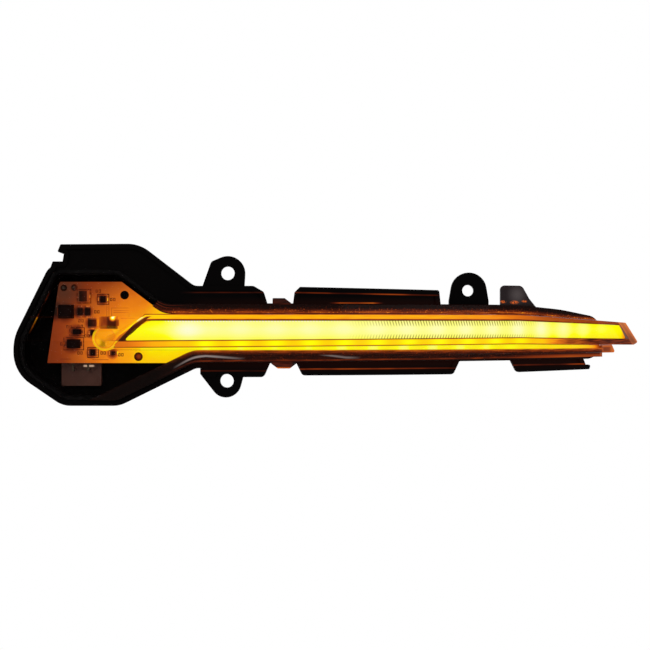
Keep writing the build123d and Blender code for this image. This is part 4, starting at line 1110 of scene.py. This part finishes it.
class LampDetail(bpy.types.PropertyGroup):
    """Sizes of the small pieces on the board and the tray."""

    line_width: bpy.props.FloatProperty(
        name="Outline width", description="Width of a printed line", default=0.28 * MM, unit="LENGTH"
    )
    line_height: bpy.props.FloatProperty(
        name="Outline height", description="Height of print and conductors", default=0.03 * MM, unit="LENGTH"
    )
    line_gap: bpy.props.FloatProperty(
        name="Outline gap", description="Gap between a part and its outline", default=0.4 * MM, unit="LENGTH"
    )
    route_width: bpy.props.FloatProperty(
        name="Conductor width", description="Width of a conductor", default=0.2 * MM, unit="LENGTH"
    )
    solder_width: bpy.props.FloatProperty(
        name="Solder width", description="Width of a solder fillet", default=1.1 * MM, unit="LENGTH"
    )
    solder_length: bpy.props.FloatProperty(
        name="Solder length", description="Length and height of a solder fillet", default=0.4 * MM,
        unit="LENGTH",
    )
    dome_height: bpy.props.FloatProperty(
        name="Dome height", description="Height of the silicone in a light diode's cup", default=0.65 * MM,
        unit="LENGTH",
    )
    ejector_radius: bpy.props.FloatProperty(
        name="Ejector radius", description="Radius of an ejector's mark on the tray", default=2.5 * MM,
        unit="LENGTH",
    )


class LampStage(bpy.types.PropertyGroup):
    """Camera and light."""

    eye_distance: bpy.props.FloatProperty(
        name="Eye distance", description="Camera's distance in front of the seat face", default=0.55,
        unit="LENGTH",
    )
    eye_across: bpy.props.FloatProperty(
        name="Eye across", description="Camera's place along the lamp", default=0.03208, unit="LENGTH"
    )
    eye_height: bpy.props.FloatProperty(
        name="Eye height", description="Camera's height", default=-0.01706, unit="LENGTH"
    )
    view_width: bpy.props.FloatProperty(
        name="View width", description="Width of the picture at the seat face", default=0.2145, unit="LENGTH"
    )
    floor_drop: bpy.props.FloatProperty(
        name="Floor drop", description="Height of the floor", default=-0.2, unit="LENGTH"
    )
    world_light: bpy.props.FloatProperty(
        name="World light", description="Strength of the even light all round", default=0.45
    )
    lamp_power: bpy.props.FloatProperty(
        name="Lamp power", description="Power of the key lamp", default=3.0, unit="POWER"
    )


class LAMP_OT_housing(bpy.types.Operator):
    """Finish the black tray and its seal"""

    bl_idname = "lamp.housing"
    bl_label = "Finish the tray"

    def execute(self, context):
        finish = context.scene.lamp_finish
        paint("rear_housing", moulded_black_abs(finish.tray, finish.glow))
        paint("lens_seal", black_sealing_bead(finish.tray))
        return {"FINISHED"}


class LAMP_OT_guides(bpy.types.Operator):
    """Light the two guides"""

    bl_idname = "lamp.guides"
    bl_label = "Light the guides"

    def execute(self, context):
        glow = context.scene.lamp_finish.glow
        paint("light_guide", lit_guide_acrylic(glow))
        paint("lower_light_guide", lit_lower_acrylic(glow))
        return {"FINISHED"}


class LAMP_OT_lens(bpy.types.Operator):
    """Finish the smoked lens"""

    bl_idname = "lamp.lens"
    bl_label = "Finish the lens"

    def execute(self, context):
        finish = context.scene.lamp_finish
        paint("front_lens", smoked_acrylic(finish.smoke, finish.glow))
        return {"FINISHED"}


class LAMP_OT_board(bpy.types.Operator):
    """Finish the circuit board, its parts and the plug socket"""

    bl_idname = "lamp.board"
    bl_label = "Finish the board"

    def execute(self, context):
        finish = context.scene.lamp_finish
        glow = finish.glow
        paint("circuit_board", lit_solder_mask(glow))
        for name, nodes, body, end, length, side_light_level in CHIP_FINISHES:
            for node in nodes:
                paint(node, chip_part(name, node, hex_color(body), hex_color(end), length, side_light_level, glow))
        paint("bulk_capacitor", dipped_tantalum(glow))
        paint("solder_joints", reflowed_tin(glow))
        paint("plug_socket", moulded_nylon(finish.socket_front, finish.socket_back, glow))
        paint("socket_pins", tinned_brass())
        paint("led_packages", led_package(glow))
        return {"FINISHED"}


class LAMP_OT_outlines(bpy.types.Operator):
    """Print an outline round the larger parts on the board"""

    bl_idname = "lamp.outlines"
    bl_label = "Print the outlines"

    def execute(self, context):
        detail = context.scene.lamp_detail
        finish = context.scene.lamp_finish
        grow = detail.line_gap + detail.line_width
        frames = []
        for node in OUTLINED:
            low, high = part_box(node)
            frames.append(front_plate(
                (low[0] - grow, low[2] - grow), (high[0] + grow, high[2] + grow), BOARD_FRONT * MM,
                detail.line_height, detail.line_width,
            ))
        for across, height in TICK_PLACES:
            for index in range(2):
                left = (across + index * TICK_PITCH) * MM
                corner = (left + TICK_SIZE[0] * MM, (height + TICK_SIZE[1]) * MM)
                frames.append(front_plate(
                    (left, height * MM), corner, BOARD_FRONT * MM, detail.line_height,
                    detail.line_width * TICK_LINE,
                ))
        finish_piece(join(frames), "printed_outlines", printed_ink(finish.ink, finish.glow))
        return {"FINISHED"}


class LAMP_OT_conductors(bpy.types.Operator):
    """Lay the conductors that show through the solder mask"""

    bl_idname = "lamp.conductors"
    bl_label = "Lay the conductors"

    def execute(self, context):
        detail = context.scene.lamp_detail
        half = detail.route_width / 2
        strips = []
        for route in ROUTES:
            for start, end in zip(route, route[1:]):
                low = [min(start[axis], end[axis]) * MM - half for axis in (0, 1)]
                high = [max(start[axis], end[axis]) * MM + half for axis in (0, 1)]
                strips.append(front_plate(low, high, BOARD_FRONT * MM, detail.line_height))
        finish_piece(join(strips), "conductors", masked_copper(context.scene.lamp_finish.glow))
        return {"FINISHED"}


class LAMP_OT_solder(bpy.types.Operator):
    """Set a solder fillet at each end of the chips"""

    bl_idname = "lamp.solder"
    bl_label = "Solder the chips"

    def execute(self, context):
        detail = context.scene.lamp_detail
        length = detail.solder_length
        half = detail.solder_width / 2
        fillet = front_plate((0, -half), (length, half), 0, length)
        bpy.ops.object.mode_set(mode="EDIT")
        shape = bmesh.from_edit_mesh(fillet.data)
        for edge in shape.edges:
            ends = [corner.co for corner in edge.verts]
            edge.select_set(all(end.x > length / 2 and end.y < -length / 2 for end in ends))
        bmesh.update_edit_mesh(fillet.data)
        bpy.ops.mesh.bevel(offset=length * FILLET_BEVEL, segments=4, profile=FILLET_HOLLOW)
        bpy.ops.object.mode_set(mode="OBJECT")
        places = []
        for node in RESISTORS + CERAMICS:
            low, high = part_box(node)
            middle = [(low[axis] + high[axis]) / 2 for axis in range(3)]
            upright = high[2] - low[2] > high[0] - low[0]
            reach = ((high[2] - low[2]) if upright else (high[0] - low[0])) / 2
            for side in (0, 1):
                turn = Matrix.Rotation(math.pi * side - (QUARTER_TURN if upright else 0), 4, "Y")
                out = turn @ Vector((reach, 0, 0))
                chip_end = (middle[0] + out.x, BOARD_FRONT * MM, middle[2] + out.z)
                places.append(Matrix.Translation(chip_end) @ turn)
        tin = reflowed_tin(context.scene.lamp_finish.glow)
        for index, piece in enumerate(copies(fillet, places)):
            finish_piece(piece, f"solder_fillet_{index + 1:02}", tin)
        return {"FINISHED"}


class LAMP_OT_domes(bpy.types.Operator):
    """Fill each light diode's cup with silicone"""

    bl_idname = "lamp.domes"
    bl_label = "Fill the light diodes"

    def execute(self, context):
        detail = context.scene.lamp_detail
        bpy.ops.object.select_all(action="DESELECT")
        bpy.ops.mesh.primitive_uv_sphere_add(segments=24, ring_count=12, radius=DOME_RADIUS * MM)
        dome = context.object
        start_editing()
        bpy.ops.mesh.bisect(plane_co=(0, 0, 0), plane_no=(0, 0, 1), use_fill=True, clear_inner=True)
        bpy.ops.mesh.select_all(action="SELECT")
        flatness = detail.dome_height / (DOME_RADIUS * MM)
        bpy.ops.transform.resize(value=(1, 1, flatness), center_override=(0, 0, 0))
        end_editing()
        bpy.ops.object.shade_smooth_by_angle(angle=math.radians(40))
        radius = BEND_RADIUS - BOARD_FRONT + LED_FLOOR + DOME_GAP
        places = []
        run = LED_START
        for index in range(LED_COUNT):
            angle = max(run, 0) / BEND_RADIUS
            across = run if run <= 0 else radius * math.sin(angle)
            back = BEND_RADIUS - radius * math.cos(angle)
            turn = Matrix((
                (math.cos(angle), 0, math.sin(angle)),
                (math.sin(angle), 0, -math.cos(angle)),
                (0, 1, 0),
            )).to_4x4()
            places.append(Matrix.Translation((across * MM, back * MM, SLOT_MIDDLE * MM)) @ turn)
            run += LED_PITCH * LED_RATIO**index
        silicone = amber_silicone(context.scene.lamp_finish.glow)
        for index, piece in enumerate(copies(dome, places)):
            finish_piece(piece, f"led_dome_{index + 1:02}", silicone)
        return {"FINISHED"}


class LAMP_OT_ejectors(bpy.types.Operator):
    """Raise the ejectors' round marks on the back of the tray"""

    bl_idname = "lamp.ejectors"
    bl_label = "Mark the tray's back"

    def execute(self, context):
        radius = context.scene.lamp_detail.ejector_radius
        bpy.ops.object.select_all(action="DESELECT")
        bpy.ops.mesh.primitive_circle_add(
            vertices=48, radius=radius, fill_type="NGON", rotation=(-QUARTER_TURN, 0, 0)
        )
        mark = context.object
        bpy.ops.object.transform_apply()
        start_editing()
        bpy.ops.mesh.extrude_region_move(TRANSFORM_OT_translate={"value": (0, EJECTOR_RISE * MM, 0)})
        bpy.ops.mesh.inset(thickness=radius * EJECTOR_RIM)
        bpy.ops.transform.translate(value=(0, -EJECTOR_SINK * MM, 0))
        end_editing()
        places = []
        for across, height in EJECTOR_PLACES:
            places.append(Matrix.Translation((across * MM, HEAD_BACK * MM, height * MM)))
        abs_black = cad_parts["rear_housing"].data.materials[0]
        for index, piece in enumerate(copies(mark, places)):
            finish_piece(piece, f"ejector_mark_{index + 1}", abs_black)
        return {"FINISHED"}


class LAMP_OT_stage(bpy.types.Operator):
    """Set up the floor, the light and the camera"""

    bl_idname = "lamp.stage"
    bl_label = "Set the stage"

    def execute(self, context):
        stage = context.scene.lamp_stage
        bpy.ops.object.select_all(action="DESELECT")
        bpy.ops.mesh.primitive_plane_add(size=1)
        floor = context.object
        floor.name = "studio_floor"
        floor.scale = (*FLOOR_SIZE, 1)
        floor.location = (*FLOOR_CENTER, stage.floor_drop)
        bpy.ops.object.transform_apply()
        floor.data.materials.append(matt_white_paper())

        world = bpy.data.worlds.new("white_studio")
        context.scene.world = world
        world.use_nodes = True
        tree = world.node_tree
        tree.nodes.clear()
        rays = add(tree, "LightPath", out=None).outputs
        mirrored = add(tree, "Math MAXIMUM", rays["Is Glossy Ray"], rays["Is Transmission Ray"])
        seen = add(tree, "Math MAXIMUM", rays["Is Camera Ray"], mirrored)
        strength = add(tree, "MapRange", seen, To_Min=stage.world_light, To_Max=1.0)
        sky = add(tree, "Background", (1, 1, 1, 1), strength)
        add(tree, "OutputWorld", sky, out=None)

        for name, place, share in LAMPS:
            light = bpy.data.lights.new(name, "AREA")
            light.energy = stage.lamp_power * share
            light.size = LAMP_SIZE
            lamp = bpy.data.objects.new(name, light)
            context.collection.objects.link(lamp)
            lamp.location = place
            lamp.rotation_euler = (-lamp.location).to_track_quat("-Z", "Y").to_euler()

        camera = bpy.data.cameras.new("camera")
        camera.sensor_width = SENSOR_WIDTH
        camera.lens = SENSOR_WIDTH * stage.eye_distance / stage.view_width
        eye = bpy.data.objects.new("camera", camera)
        context.collection.objects.link(eye)
        eye.location = (stage.eye_across, -stage.eye_distance, stage.eye_height)
        eye.rotation_euler = (QUARTER_TURN, 0, 0)
        context.scene.camera = eye
        context.scene.view_settings.view_transform = "Standard"
        return {"FINISHED"}


class LAMP_PT_panel(bpy.types.Panel):
    """Buttons for each group of pieces, and the values they use"""

    bl_idname = "LAMP_PT_panel"
    bl_label = "Side repeater lamp"
    bl_space_type = "VIEW_3D"
    bl_region_type = "UI"
    bl_category = "Lamp"

    def draw(self, context):
        for operator in OPERATORS:
            self.layout.operator(operator.bl_idname)
        for group in (context.scene.lamp_finish, context.scene.lamp_detail, context.scene.lamp_stage):
            for name in group.__annotations__:
                self.layout.prop(group, name)


GROUPS = (LampFinish, LampDetail, LampStage)
OPERATORS = (
    LAMP_OT_stage, LAMP_OT_housing, LAMP_OT_guides, LAMP_OT_lens, LAMP_OT_board, LAMP_OT_outlines,
    LAMP_OT_conductors, LAMP_OT_solder, LAMP_OT_domes, LAMP_OT_ejectors,
)
CLASSES = (*GROUPS, *OPERATORS, LAMP_PT_panel)


def register():
    for entry in CLASSES:
        bpy.utils.register_class(entry)
    bpy.types.Scene.lamp_finish = bpy.props.PointerProperty(type=LampFinish)
    bpy.types.Scene.lamp_detail = bpy.props.PointerProperty(type=LampDetail)
    bpy.types.Scene.lamp_stage = bpy.props.PointerProperty(type=LampStage)


def unregister():
    del bpy.types.Scene.lamp_stage
    del bpy.types.Scene.lamp_detail
    del bpy.types.Scene.lamp_finish
    for entry in reversed(CLASSES):
        bpy.utils.unregister_class(entry)


def main():
    register()
    bpy.ops.lamp.stage()
    bpy.ops.lamp.housing()
    bpy.ops.lamp.guides()
    bpy.ops.lamp.lens()
    bpy.ops.lamp.board()
    bpy.ops.lamp.outlines()
    bpy.ops.lamp.conductors()
    bpy.ops.lamp.solder()
    bpy.ops.lamp.domes()
    bpy.ops.lamp.ejectors()


if __name__ == "__main__":
    main()
